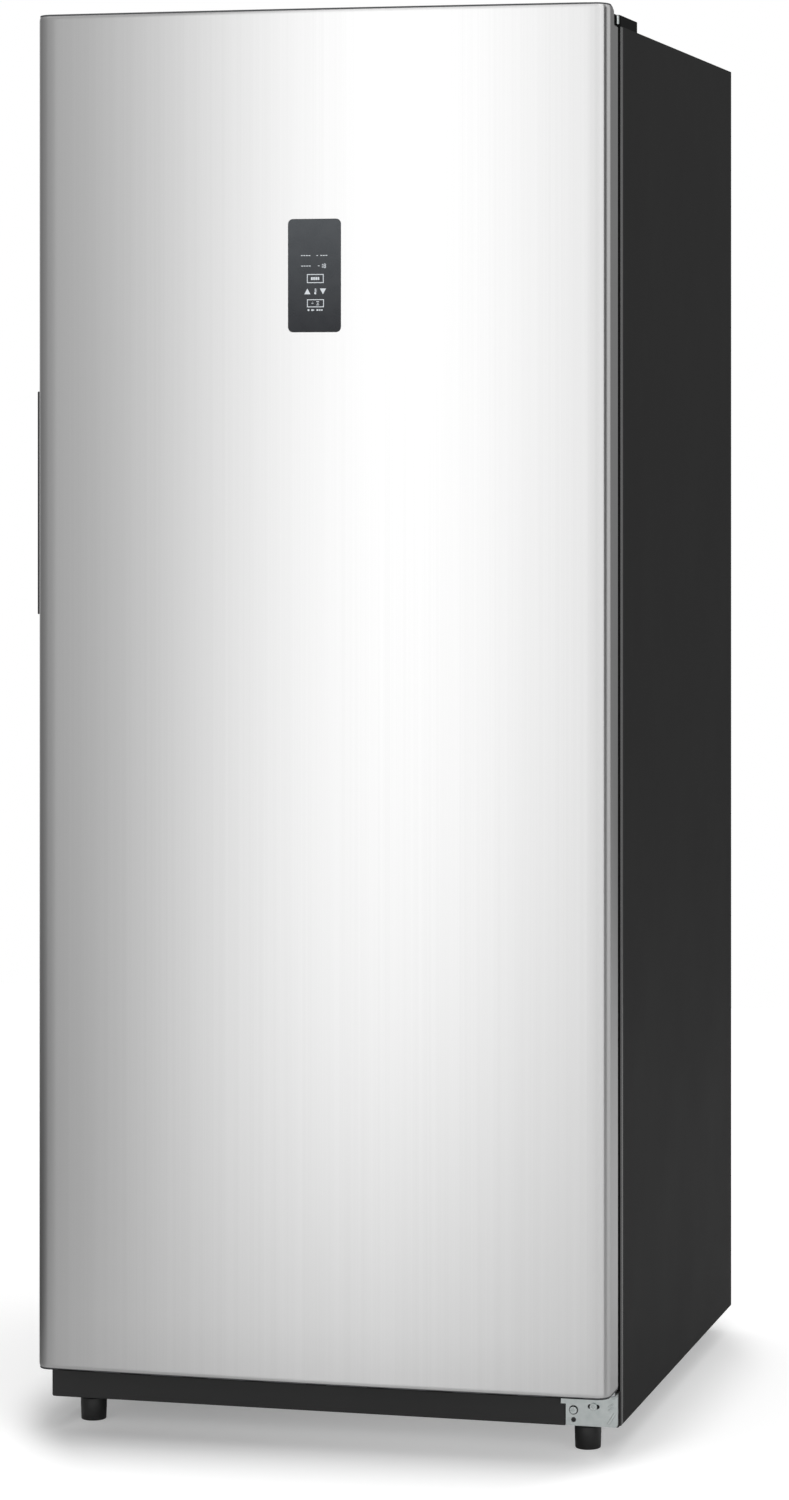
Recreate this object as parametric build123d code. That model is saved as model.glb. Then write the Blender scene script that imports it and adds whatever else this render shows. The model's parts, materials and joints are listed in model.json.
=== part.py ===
from build123d import *
import os

# An upright freezer with one hinged door: 28 inches wide, about 17 cubic feet.
# Millimetres, +Z up, the door faces -Y, and the origin is on the floor under
# the middle of the whole appliance.

# ---- overall sizes ----
case_width = 706.0
case_depth = 700.0
case_height = 1655.0
case_lift = 34.0            # floor to the underside of the case
door_lift = 79.5            # floor to the door's lower edge
door_rise = 23.5            # door's top edge above the case's top
door_depth = 63.0           # at the crown of its front
door_crown = 5.0            # how far the front bulges between its sides
door_corner = 16.0          # plan radius of the front's upright edges
seal_gap = 12.0             # between the door and the case
grip_proud = 5.0            # how far the grip's lip stands out of the door's side

# ---- walls ----
steel = 0.8                 # outer sheet
bend = 2.4                  # bends of the outer sheet, at its middle
liner_wall = 1.5
side_wall = 62.0            # insulated side of the case, outside to cavity
top_wall = 64.0
floor_wall = 100.0          # underside of the case to the cavity's floor
back_wall = 66.0
flange = 42.0               # painted front flange round the case
cavity_corner = 14.0
seat = 0.3                  # gap between pieces that slide or turn on each other

# ---- machine room behind the cavity's lower end ----
room_depth = 250.0
room_height = 300.0
room_wall = 60.0            # insulation round the room

# ---- shelves, drawer and fan panel ----
shelf_count = 4
shelf_pitch = 290.0
shelf_front = 122.0         # from the case's front to the shelves' front edge
shelf_glass = 4.0
trim_height = 14.0
trim_depth = 20.0
trim_lip = 2.5              # plastic over and under the glass
trim_bite = 10.0            # how far the glass enters its trim
rib_width = 9.0
rib_height = 10.0
fan_panel_wall = 2.5
fan_panel_gap = 64.0        # from the cavity's back to the fan panel's back
drawer_wall = 2.5
drawer_height = 215.0
drawer_side_gap = 24.0
drawer_draft = 18.0
runner_height = 4.0
pull_depth = 14.0
pull_height = 30.0
pull_wall = 3.0
lamp_length = 180.0
lamp_width = 40.0
lamp_height = 12.0
lamp_setback = 60.0         # from the case's front
slot_margin = 60.0          # from the fan panel's sides to its vents

# ---- cold coil, heater and fan ----
cold_coil_inset = 60.0      # from the cavity's sides
cold_coil_gap = 8.0         # behind the fan panel
cold_coil_lift = 90.0       # above the step over the machine room
cold_coil_height = 240.0
heater_radius = 6.0
heater_inset = 90.0
heater_lift = 40.0
heater_clip = 12.0
cold_fan_gap = 5.0
cold_fan_lift = 440.0
cold_motor_plate = 132.0
cold_motor_strip = 24.0
cold_motor_wall = 3.0

# ---- door furniture ----
top_cap_height = 46.0
bottom_cap_height = 26.0
skin_return = 9.0
skin_edge = 1.8
dike_width = 34.0
dike_reach = 40.0           # how far the door liner's ridge enters the cavity
dike_gap = 15.0             # between that ridge and the cavity's walls
dike_round = 7.0
pan_rise = 4.0
gasket_width = 20.0
gasket_lip = 3.0
gasket_neck = 8.0
gasket_inset = 20.0         # from the case's side to the seal's outer edge
bin_count = 4
bin_reach = 96.0            # from the case's front to a bin's inner face
bin_wall = 2.5
bin_corner = 12.0
bin_heights = (150.0, 96.0, 96.0, 96.0)
bin_bases = (195.0, 565.0, 915.0, 1265.0)   # above the floor
ledge_width = 7.0
ledge_height = 8.0

# ---- hinges ----
pin_radius = 4.0
pin_clearance = 0.05
axis_inset = 12.0           # hinge axis from the case's side, and from the door's back
hinge_plate = 3.0
hinge_plate_width = 54.0
hinge_plate_depth = 67.0
hinge_plate_inset = 8.0     # from the case's side
hinge_plate_setback = 5.0   # from the case's front
hinge_plate_corner = 6.0
screw_margin = 9.0          # from the hinge plate's edges
screw_reach = 12.0
arm_radius = 6.0
bush_radius = 7.0
bush_length = 18.0
screw_radius = 2.5
screw_head = 4.5
screw_head_height = 2.6
screw_hole = 2.6
cover_height = 13.6
cover_width = 69.0
cover_inset = 1.0           # from the case's side
cover_depth = 102.0
cover_wall = 1.4
cover_corner = 5.0
cover_edge = 1.2
nose_radius = 7.5
notch_depth = 24.0          # from the door's back
notch_drop = 1.5            # under the case's top
notch_round = 6.0           # the door's side corner in front of the notch
bracket_width = 63.0
bracket_height = 41.0
bracket_corner = 4.0
arm_width = 30.0            # lower arm, from its inner end to the hinge axis
arm_nose = 11.0             # lower arm in front of the hinge axis
arm_corner = 9.0
tab_length = 6.0
tab_height = 6.0
tab_drop = 9.0
spare_hole = 3.0
kick_height = 41.5
kick_wall = 2.5

# ---- grip and display ----
grip_base = 988.0           # above the floor
grip_length = 270.0
grip_width = 34.0
grip_setback = 19.0         # from the door's front crown
grip_pocket = 26.0
grip_wall = 2.0
grip_face = 1.2
lip_width = 5.0
display_width = 65.0
display_height = 134.0
display_corner = 6.0
display_drop = 318.0        # door's top to the display's middle
display_shift = 2.0         # from the door's middle towards the grip
display_depth = 3.0
display_sink = 0.2
board_depth = 14.0
board_margin = 7.0

# ---- feet and rollers ----
foot_radius = 16.0
foot_height = 27.5
stem_radius = 5.0
stem_length = 40.5
stem_clearance = 0.06
foot_inset_left = 39.5
foot_inset_right = 46.0
foot_setback = 28.0
nut_radius = 9.0
nut_height = 8.0
foot_travel = 8.0
roller_radius = 14.0
roller_width = 22.0
axle_radius = 3.5
axle_clearance = 0.06
roller_inset = 60.0
roller_setback = 60.0
cheek = 2.0
cheek_gap = 1.0

# ---- machine room pieces ----
compressor_radius = 78.0
compressor_height = 175.0
compressor_across = 210.0   # middle of the compressor, from the case's right side
compressor_shift = 6.0      # from the room's middle towards its front
compressor_dome = 45.0
compressor_seam = 3.0
seam_height = 5.0
foot_plate_width = 208.0
foot_plate_depth = 156.0
foot_plate_wall = 3.0
foot_plate_corner = 16.0
mount_inset = 16.0          # from the foot plate's edges
mount_height = 16.0
mount_radius = 13.0
mount_grip = 5.0
mount_cap = 5.0
relay_reach = 26.0
relay_width = 56.0
relay_lift = 40.0
tray_wall = 3.0
tray_height = 46.0
tray_corner = 10.0
tray_spread = 20.0          # past the coil's front and back
tray_gap = 3.0
coil_tube = 4.0
fin = 0.8
coil_return = 12.0
coil_inset = 60.0           # from the case's left side
coil_width = 150.0
coil_margin = 45.0          # from the room's front and back
coil_lift = 62.0
coil_height = 188.0
fan_shaft = 3.0
fan_clearance = 0.05
fan_radius_room = 78.0
fan_radius_cold = 52.0
fan_hub = 18.0
fan_depth = 22.0
fan_tip_gap = 4.0
fan_blades = 5
fan_blade = 1.6
blade_root = 4.0
blade_pitch = 32.0
fan_offset = 46.0           # from the coil's bends to the fan
fan_plate = 3.0
fan_plate_rim = 10.0
fan_arm = 7.0
motor_radius = 24.0
motor_length = 34.0
drier_radius = 10.0
drier_neck = 3.0
drier_taper = 14.0
drier_length = 100.0
drier_lift = 150.0
drier_gap = 20.0            # past the fan's motor
drier_clip = 5.0
tube_thin = 3.0
tube_thick = 4.0
tube_spread = 40.0          # from the compressor's middle
tube_margin = 24.0          # from the room's walls
tube_pitch = 8.0            # between two tubes that run together
board_box_width = 90.0
board_box_height = 88.0
board_box_depth = 30.0
board_box_inset = 20.0
board_box_corner = 4.0
inlet_width = 40.0
inlet_height = 28.0
inlet_depth = 30.0
inlet_inset = 60.0          # from the case's right side
inlet_lift = 70.0           # above the case's underside
socket_width = 26.0
socket_height = 17.0
socket_depth = 20.0
contact_pitch = 7.5
contact_rise = 5.0          # the middle contact over the outer two
louvre_width = 12.0
louvre_height = 22.0
louvre_pitch = 34.0
louvre_lift = 110.0
louvre_inset = 40.0
louvre_span = 260.0
louvre_span_right = 170.0
louvre_margin_right = 130.0
louvre_lift_right = 150.0

# ---- derived places ----
overall_width = case_width + grip_proud
overall_depth = case_depth + seal_gap + door_depth
x_left = -overall_width / 2 + grip_proud
x_right = x_left + case_width
x_mid = (x_left + x_right) / 2
y_face = -overall_depth / 2
y_door = y_face + door_depth           # the door's back
y_case = y_door + seal_gap             # the case's front
y_back = y_case + case_depth
case_top = case_lift + case_height
door_top = case_top + door_rise
display_x = x_mid - display_shift
display_middle = door_top - display_drop

cavity_left = x_left + side_wall
cavity_right = x_right - side_wall
cavity_back = y_back - back_wall
cavity_floor = case_lift + floor_wall
cavity_top = case_top - top_wall
room_front = y_back - room_depth
room_top = case_lift + room_height
hump_front = room_front - room_wall
hump_top = room_top + room_wall
fan_panel_y = cavity_back - fan_panel_gap

hinge_x = x_right - axis_inset
hinge_y = y_door - axis_inset
notch_front = y_door - notch_depth
notch_floor = case_top - notch_drop

BOTTOM = (Align.CENTER, Align.CENTER, Align.MIN)

os.makedirs("parts", exist_ok=True)


# ---- helpers ----
def block(x, y, z):
    """A box between three (low, high) pairs."""
    pairs = (x, y, z)
    middle = [(low + high) / 2 for low, high in pairs]
    return Pos(*middle) * Box(*[high - low for low, high in pairs])


def bar(radius, start, axis, length):
    """A cylinder from start along axis."""
    place = Plane(origin=start, z_dir=axis)
    return place * Cylinder(radius, length, align=BOTTOM)


def tube(radius, points, corner):
    """A round tube along straight runs joined by arcs."""
    path = FilletPolyline(*points, radius=corner)
    start = Plane(origin=path @ 0, z_dir=path % 0)
    return sweep(start * Circle(radius), path=path)


def ring(x, z, y, width):
    """A rectangular frame in a plane across Y."""
    hole_x = (x[0] + width, x[1] - width)
    hole_z = (z[0] + width, z[1] - width)
    return block(x, y, z) - block(hole_x, (y[0] - 1, y[1] + 1), hole_z)


def bent(points, length):
    """Sheet steel bent along points in the plane across X, from -X to +X."""
    line = FilletPolyline(*points, radius=bend)
    place = Plane(origin=(x_left + steel, 0, 0), x_dir=(0, 1, 0), z_dir=(1, 0, 0))
    return extrude(place * trace(line, steel), length)


def grown(pair, amount):
    return (pair[0] - amount, pair[1] + amount)


def save(name, *solids):
    """Writes one node, whose solids stay separate."""
    shape = solids[0] if len(solids) == 1 else Compound(children=list(solids))
    export_step(shape, f"parts/{name}.step")


# ---- case: outer sheets ----
def side_panel(x, side):
    """One painted side with its front flange; side is +1 when it turns to +X."""
    middle = x + side * steel / 2
    y = y_case + steel / 2
    line = FilletPolyline((x + side * flange, y), (middle, y), (middle, y_back), radius=bend)
    height = case_height - steel
    return extrude(Pos(0, 0, case_lift) * trace(line, steel), height)


def top_panel():
    sheet = block((x_left, x_right), (y_case, y_back), (case_top - steel, case_top))
    across = (x_left + flange, x_right - flange)
    front = block(across, (y_case, y_case + steel), (case_top - flange, case_top - steel))
    holes = [bar(screw_hole, (x, y, case_top - flange / 2), (0, 0, 1), flange) for x, y in top_screws()]
    return sheet + front - holes


def back_panel():
    half = steel / 2
    points = (
        (y_back - half, case_top - steel),
        (y_back - half, room_top),
        (room_front, room_top),
        (room_front, case_lift + steel),
    )
    return bent(points, case_width - 2 * steel)


def base_pan():
    across = (x_left + steel, x_right - steel)
    sheet = block(across, (y_case + steel, y_back), (case_lift, case_lift + steel))
    front_x = (x_left + flange, x_right - flange)
    front_z = (case_lift, case_lift + flange)
    front = sheet.edges().filter_by(Axis.Z).group_by(Axis.Y)[0]
    pan = chamfer(front, 1.5 * bend) + block(front_x, (y_case, y_case + steel), front_z)
    for x in foot_places():
        pan += bar(nut_radius, (x, foot_y, case_lift + steel), (0, 0, 1), nut_height)
    for x in foot_places():
        hole = (x, foot_y, case_lift - nut_height)
        pan -= bar(stem_radius + stem_clearance, hole, (0, 0, 1), 3 * nut_height)
    return pan


# ---- case: cavity, liner and foam ----
def cavity(grow):
    """The cold space with its step over the machine room, grown all round."""
    main = block(
        (cavity_left - grow, cavity_right + grow),
        (y_case - seal_gap, cavity_back + grow),
        (cavity_floor - grow, cavity_top + grow),
    )
    main = fillet(main.edges().filter_by(Axis.Y), cavity_corner + grow)
    hump = block(
        (cavity_left - side_wall, cavity_right + side_wall),
        (hump_front + grow, y_back),
        (case_lift, hump_top - grow),
    )
    return main - hump


def rim():
    """The liner's flat edge on the case's front, inside the painted flange."""
    x = (x_left + flange, x_right - flange)
    z = (case_lift + flange, case_top - flange)
    plate = block(x, (y_case, y_case + liner_wall), z)
    return plate - cavity(0)


def shelf_level(i):
    """Top of the ribs that carry shelf i, counted from the lowest."""
    return hump_top + trim_height + i * shelf_pitch


def liner_ribs():
    """Ledges on both side walls under each shelf, and the drawer's runners."""
    y = (y_case + shelf_front, fan_panel_y - fan_panel_wall - 1)
    ribs = []
    for i in range(shelf_count):
        z = (shelf_level(i) - rib_height, shelf_level(i))
        ribs.append(block((cavity_left - liner_wall / 2, cavity_left + rib_width), y, z))
        ribs.append(block((cavity_right - rib_width, cavity_right + liner_wall / 2), y, z))
    runner_y = (y_case + shelf_front, hump_front - drawer_wall)
    runner_z = (cavity_floor - liner_wall / 2, cavity_floor + runner_height)
    for x in runner_places():
        ribs.append(block(grown((x, x), rib_width / 2), runner_y, runner_z))
    return ribs


def runner_places():
    inset = drawer_side_gap + 4 * rib_width
    return (cavity_left + inset, cavity_right - inset)


def cabinet_liner():
    shell = cavity(liner_wall) - cavity(0)
    cut = block((x_left, x_right), (y_case - 2 * seal_gap, y_case), (case_lift, case_top))
    return shell - cut + rim() + liner_ribs()


def foam_pockets():
    """Room in the insulation for the feet's stems and the top hinge's screws."""
    pocket = stem_length - case_lift + foot_height + foot_travel
    cuts = [
        bar(nut_radius + 1, (x, foot_y, case_lift), (0, 0, 1), pocket) for x in foot_places()
    ]
    cuts += [
        bar(screw_hole + 0.5, (x, y, case_top - screw_reach - 1), (0, 0, 1), 2 * screw_reach)
        for x, y in top_screws()
    ]
    return cuts


def cabinet_foam():
    foam = block(
        (x_left + steel, x_right - steel),
        (y_case + steel, y_back - steel),
        (case_lift + steel, case_top - steel),
    )
    front = foam.edges().filter_by(Axis.Z).group_by(Axis.Y)[0]
    foam = chamfer(front, 1.5 * bend)
    room = block((x_left, x_right), (room_front - steel / 2, y_back), (0, room_top + steel / 2))
    foam -= room
    heel = foam.edges().filter_by(Axis.X).group_by(Axis.Y)[-1].group_by(Axis.Z)[0]
    foam = chamfer(heel, 1.5 * bend)
    return foam - cavity(liner_wall) - rim() - foam_pockets()


# ---- feet and rollers ----
def foot_places():
    return (x_left + foot_inset_left, x_right - foot_inset_right)


foot_y = y_case + foot_setback


def levelling_foot(x):
    pad = bar(foot_radius, (x, foot_y, 0), (0, 0, 1), foot_height)
    pad = fillet(pad.edges().group_by(Axis.Z)[0], 2)
    stem = bar(stem_radius, (x, foot_y, foot_height), (0, 0, 1), stem_length)
    return pad + stem


def roller_places():
    return (x_left + roller_inset, x_right - roller_inset)


roller_y = y_back - roller_setback


def roller(x):
    start = (x - roller_width / 2, roller_y, roller_radius)
    wheel = bar(roller_radius, start, (1, 0, 0), roller_width)
    wheel = fillet(wheel.edges().filter_by(GeomType.CIRCLE), 1.5)
    return wheel - bar(axle_radius + axle_clearance, start, (1, 0, 0), roller_width)


def roller_bracket(x):
    """A channel under the base with one cheek on each side of its roller."""
    half = roller_width / 2 + cheek_gap + cheek
    low = roller_radius - 2 * axle_radius
    y = grown((roller_y, roller_y), roller_radius + cheek)
    channel = block((x - half, x + half), y, (low, case_lift))
    inside = (x - half + cheek, x + half - cheek)
    channel -= block(inside, grown(y, 1), (0, case_lift - cheek))
    hole = (x - half - 1, roller_y, roller_radius)
    return channel - bar(axle_radius, hole, (1, 0, 0), 2 * half + 2)


def roller_axle(x):
    half = roller_width / 2 + cheek_gap + cheek
    return bar(axle_radius, (x - half, roller_y, roller_radius), (1, 0, 0), 2 * half)


# ---- kick plate and lower hinge ----
bracket_x = (x_right - bracket_width - 1, x_right - 1)
bracket_z = (case_lift + 0.5, case_lift + bracket_height)
tab_z = (bracket_z[1] - tab_drop - tab_height, bracket_z[1] - tab_drop)
bracket_front = y_door


def bracket_screws():
    """Lower hinge screws as (x, z), inside the plate's two upper corners."""
    x = bracket_x[0] + 2.1 * screw_head
    return ((x, case_lift + 19.0), (x + 5.4 * screw_head, case_lift + 24.0))


def kick_plate():
    z = (case_lift, case_lift + kick_height)
    outer = block((x_left, x_right), (y_door, y_case), z)
    corners = outer.edges().filter_by(Axis.Y).group_by(Axis.Z)[0]
    outer = fillet(corners, bracket_corner)
    seat_cut = block(
        (bracket_x[0] - 1, x_right + 1),
        (y_door - 1, y_door + hinge_plate),
        (0, case_top),
    )
    outer -= seat_cut
    outer -= block(
        (bracket_x[0] - tab_length - 1, bracket_x[0]),
        (y_door - 1, y_door + hinge_plate),
        grown(tab_z, 1),
    )
    inner_left = block(
        (x_left + kick_wall, bracket_x[0] - 1 - kick_wall),
        (y_door + kick_wall, y_case + 1),
        (z[0] - 1, z[1] - kick_wall),
    )
    inner_right = block(
        (bracket_x[0] - 1, x_right - kick_wall),
        (y_door + hinge_plate + kick_wall, y_case + 1),
        (z[0] - 1, z[1] - kick_wall),
    )
    plate = outer - inner_left - inner_right
    for x, z_screw in bracket_screws():
        plate -= bar(screw_hole, (x, y_door, z_screw), (0, 1, 0), seal_gap)
    return plate


def lower_hinge_bracket():
    """A thick zinc-plated angle with an arm under the door's corner."""
    plate = block(bracket_x, (bracket_front, bracket_front + hinge_plate), bracket_z)
    corner = plate.edges().filter_by(Axis.Y).group_by(Axis.Z)[0].sort_by(Axis.X)[-1]
    plate = fillet(corner, bracket_corner)
    tab_y = (bracket_front, bracket_front + hinge_plate)
    tab = block((bracket_x[0] - tab_length, bracket_x[0]), tab_y, tab_z)
    arm_z = (bracket_z[1] - hinge_plate, bracket_z[1])
    arm_x = (hinge_x - arm_width, bracket_x[1])
    arm = block(arm_x, (hinge_y - arm_nose, bracket_front), arm_z)
    arm = fillet(arm.edges().filter_by(Axis.Z).group_by(Axis.Y)[0], arm_corner)
    bracket = plate + tab + arm
    for x, z in bracket_screws():
        bracket -= bar(screw_hole, (x, bracket_front - 1, z), (0, 1, 0), hinge_plate + 2)
    spare = (bracket_screws()[0][0], bracket_front - 1, case_lift + 7.5)
    bracket -= bar(spare_hole, spare, (0, 1, 0), hinge_plate + 2)
    below = (hinge_x, hinge_y, bracket_z[1] - hinge_plate - 1)
    return bracket - bar(pin_radius, below, (0, 0, 1), hinge_plate + 2)


# ---- upper hinge ----
plate_x = (x_right - hinge_plate_inset - hinge_plate_width, x_right - hinge_plate_inset)
plate_y = (y_case + hinge_plate_setback, y_case + hinge_plate_setback + hinge_plate_depth)


def top_screws():
    x_near, x_far = grown(plate_x, -screw_margin)
    y_near, y_far = grown(plate_y, -screw_margin)
    return ((x_near, y_near), (x_far, y_near + 1.5 * screw_margin), (x_near, y_far))


def upper_hinge_plate():
    z = (case_top, case_top + hinge_plate)
    plate = block(plate_x, plate_y, z)
    plate = fillet(plate.edges().filter_by(Axis.Z), hinge_plate_corner)
    arm = block((hinge_x - arm_radius, hinge_x + arm_radius), (hinge_y, plate_y[0] + 8), z)
    end = bar(arm_radius, (hinge_x, hinge_y, z[0]), (0, 0, 1), hinge_plate)
    plate = plate + arm + end
    # an upright rib along the arm's outer edge stiffens it over the gap
    rib_x = (hinge_x + arm_radius - hinge_plate / 2, hinge_x + arm_radius)
    rib_y = (y_door + 1, y_case - 1)
    plate += block(rib_x, rib_y, (z[0], case_top + cover_height - 2 * cover_wall))
    for x, y in top_screws():
        plate -= bar(screw_hole, (x, y, z[0] - 1), (0, 0, 1), hinge_plate + 2)
    return plate - bar(pin_radius, (hinge_x, hinge_y, z[0] - 1), (0, 0, 1), hinge_plate + 2)


def hinge_cover():
    """A plastic cap over the top hinge, with a narrow nose over the pin."""
    x = (x_right - cover_inset - cover_width, x_right - cover_inset)
    y = (y_case + cover_inset / 2, y_case + cover_depth)
    z = (case_top, case_top + cover_height)

    def outline(inset, low, high):
        body = block(grown(x, -inset), (y[0] + inset, y[1] - inset), (low, high))
        body = fillet(body.edges().filter_by(Axis.Z), cover_corner - inset)
        radius = nose_radius - inset
        across = (hinge_x - radius, hinge_x + radius)
        nose = block(across, (hinge_y, y[0] + 2 * cover_corner), (low, high))
        return body + nose + bar(radius, (hinge_x, hinge_y, low), (0, 0, 1), high - low)

    cover = outline(0, *z)
    cover = fillet(cover.edges().group_by(Axis.Z)[-1], cover_edge)
    cover -= outline(cover_wall, z[0] - 1, z[1] - cover_wall)
    # the nose clears the notch's floor, and its side is open over the gap
    window_x = (hinge_x, hinge_x + 2 * nose_radius)
    window_z = (z[0] - 1, z[1] - 2 * cover_wall)
    return cover - block(window_x, (y_door + 1, y_case - 1), window_z)


def screw(place, axis, reach):
    """A pan-head screw whose head's underside is at place; axis points out."""
    place = Vector(*place)
    out = Vector(*axis)
    head = bar(screw_head, place, axis, screw_head_height)
    head = fillet(head.edges().filter_by(GeomType.CIRCLE).sort_by(SortBy.DISTANCE)[-1:], 0.6)
    shank = bar(screw_radius, place - out * reach, axis, reach)
    slot_place = Plane(origin=place + out * (screw_head_height - 1.4), z_dir=axis)
    cross = Box(5.0, 1.0, 3, align=BOTTOM) + Box(1.0, 5.0, 3, align=BOTTOM)
    return head + shank - slot_place * cross


def hinge_screws():
    low_reach = hinge_plate + kick_wall
    low = [screw((x, bracket_front, z), (0, -1, 0), low_reach) for x, z in bracket_screws()]
    seat_z = case_top + hinge_plate
    reach = screw_reach + hinge_plate
    return low + [screw((x, y, seat_z), (0, 0, 1), reach) for x, y in top_screws()]


def hinge_pins():
    """The upper pin hangs from its plate and the lower one stands on its arm."""
    top = case_top + hinge_plate
    upper = bar(pin_radius, (hinge_x, hinge_y, top), (0, 0, -1), hinge_plate + bush_length)
    upper += bar(pin_radius + 1.2, (hinge_x, hinge_y, top), (0, 0, 1), 2)
    base = bracket_z[1]
    lower = bar(pin_radius, (hinge_x, hinge_y, base - hinge_plate), (0, 0, 1),
                hinge_plate + bush_length)
    lower += bar(pin_radius + 1.2, (hinge_x, hinge_y, base - hinge_plate), (0, 0, -1), 2)
    return upper, lower


def hinge_bushes():
    """Flanged bushes in the door's caps, turning on the pins."""
    top = notch_floor
    upper = bar(bush_radius, (hinge_x, hinge_y, top), (0, 0, -1), bush_length)
    upper -= bar(pin_radius + pin_clearance, (hinge_x, hinge_y, top + 1), (0, 0, -1), bush_length + 2)
    low = bracket_z[1] + seat
    lower = bar(bush_radius, (hinge_x, hinge_y, low), (0, 0, 1), bush_length)
    lower += bar(bush_radius + 3, (hinge_x, hinge_y, low), (0, 0, 1), door_lift - low)
    lower -= bar(pin_radius + pin_clearance, (hinge_x, hinge_y, low - 1), (0, 0, 1), bush_length + 2)
    return upper, lower


# ---- door ----
foam_z = (door_lift + bottom_cap_height, door_top - top_cap_height)


def door_plan(inset):
    """The door seen from above, with a crowned front, all edges moved in."""
    left, right = x_left + inset, x_right - inset
    edge, crest = y_face + door_crown + inset, y_face + inset
    outline = (
        Line((left, y_door), (left, edge))
        + ThreePointArc((left, edge), (x_mid, crest), (right, edge))
        + Line((right, edge), (right, y_door))
        + Line((right, y_door), (left, y_door))
    )
    face = make_face(outline)
    return fillet(face.vertices().group_by(Axis.Y)[0], door_corner - inset)


def door_slab(inset, z):
    return extrude(Pos(0, 0, z[0]) * door_plan(inset), z[1] - z[0])


def hinge_notch():
    """The cut at the door's upper rear corner that lets the hinge arm pass."""
    cut = block(
        (hinge_x - 2 * nose_radius, x_right + 1),
        (notch_front, y_door + 1),
        (notch_floor, door_top + 1),
    )
    cut = fillet(cut.edges().filter_by(Axis.X).group_by(Axis.Y)[0].group_by(Axis.Z)[0], 3)
    x = (hinge_x - 2 * nose_radius, x_right + 1)
    y = (notch_front - notch_round, notch_front)
    z = (door_top - notch_round, door_top)
    keep = bar(notch_round, (x[0] - 1, y[0], z[0]), (1, 0, 0), x[1] - x[0] + 2)
    return cut + (block(x, (y[0], y[1] + 1), (z[0], z[1] + 1)) - keep)


def grip_cut():
    """The hole in the door's side that takes the grip's pocket."""
    y, z = grip_pocket_y(), grip_pocket_z()
    x = (x_left - 1, x_left + grip_pocket + grip_wall)
    return block(x, grown(y, grip_wall), grown(z, grip_wall))


def display_cut(depth, margin):
    """A rounded hole in the door's front round the display."""
    plate = RectangleRounded(
        display_width + 2 * margin, display_height + 2 * margin, display_corner + margin
    )
    place = Plane(origin=(display_x, y_face - 1, display_middle), x_dir=(1, 0, 0), z_dir=(0, 1, 0))
    return extrude(place * plate, depth + 1)


def door_skin():
    z = (door_lift, door_top)
    outer = door_slab(0, z)
    rims = outer.edges().group_by(Axis.Z)
    front = [e for e in rims[0] + rims[-1] if e.center().Y < y_door - 1]
    outer = fillet(front, skin_edge)
    inner = door_slab(steel, (z[0] + steel, z[1] - steel))
    wide = (x_left + skin_return, x_right - skin_return)
    back = block(wide, (y_door - 2, y_door + 1), z)
    ends = door_slab(skin_return, (z[0] - 1, z[1] + 1))
    trimmed = block((x_left, x_right), (y_door - steel, y_door + 1), grown(z, 1))
    back_flange = trimmed & outer
    skin = outer - inner - back - ends
    skin += back_flange - back
    skin -= bar(bush_radius, (hinge_x, hinge_y, door_lift - 1), (0, 0, 1), bush_length)
    return skin - hinge_notch() - grip_cut() - display_cut(door_crown * 2, 0)


def cap_core(z):
    """What fills the skin between two heights."""
    core = door_slab(steel, z)
    return core - block((x_left, x_right), (y_door - steel, y_door + 1), grown(z, 1))


def door_top_cap():
    cap = cap_core((door_top - top_cap_height, door_top - steel)) - hinge_notch()
    reach = door_top - notch_floor + bush_length
    return cap - bar(bush_radius, (hinge_x, hinge_y, door_top), (0, 0, -1), reach)


def door_bottom_cap():
    cap = cap_core((door_lift + steel, door_lift + bottom_cap_height))
    hole = (hinge_x, hinge_y, door_lift - 1)
    reach = bush_length - (door_lift - bracket_z[1] - seat) + 1
    return cap - bar(bush_radius, hole, (0, 0, 1), reach)


def bulge(inset):
    """The door liner's ridge: a frame that enters the cavity, thinned by inset."""
    x = (cavity_left + dike_gap + inset, cavity_right - dike_gap - inset)
    z = (cavity_floor + dike_gap + inset, cavity_top - dike_gap - inset)
    outer = block(x, (y_door - steel - liner_wall, y_case + dike_reach - inset), z)
    outer = fillet(outer.edges().filter_by(Axis.Y), 2 * dike_round - inset)
    wide = dike_width - 2 * inset
    y_pan = y_door + pan_rise - inset
    pan = block(
        (x[0] + wide, x[1] - wide), (y_pan, y_case + 2 * dike_reach), (z[0] + wide, z[1] - wide)
    )
    pan = fillet(pan.edges().filter_by(Axis.Y), dike_round + inset)
    ridge = outer - pan
    crest = ridge.faces().filter_by(Axis.Y).sort_by(Axis.Y)[-1]
    return fillet(crest.edges(), dike_round - inset)


def bin_span():
    """A bin's sides, between the door liner's ridges."""
    reach = dike_gap + dike_width + 1.0
    return (cavity_left + reach, cavity_right - reach)


def door_ledges():
    """Lugs on the ridges' inner faces that the bins hook over."""
    x = bin_span()
    y = (y_door + pan_rise + 14, y_case + dike_reach - 12)
    lugs = []
    for base in bin_bases:
        z = (base - ledge_height, base)
        lugs.append(block((x[0] - 2, x[0] + ledge_width), y, z))
        lugs.append(block((x[1] - ledge_width, x[1] + 2), y, z))
    return lugs


def door_liner():
    y = (y_door - steel - liner_wall, y_door - steel)
    x = (x_left + skin_return, x_right - skin_return)
    z = foam_z
    plate = block((x_left + steel, x_right - steel), y, z)
    raised = block(x, (y[1], y_door), grown(z, -1))
    return plate + raised + bulge(0) - bulge(liner_wall) + door_ledges()


def door_foam():
    y = (y_face - 1, y_door - steel - liner_wall)
    slab = door_slab(steel, foam_z) & block((x_left, x_right), y, foam_z)
    depth = display_depth + display_sink + board_depth
    return slab + bulge(liner_wall) - grip_cut() - display_cut(depth, board_margin)


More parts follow.
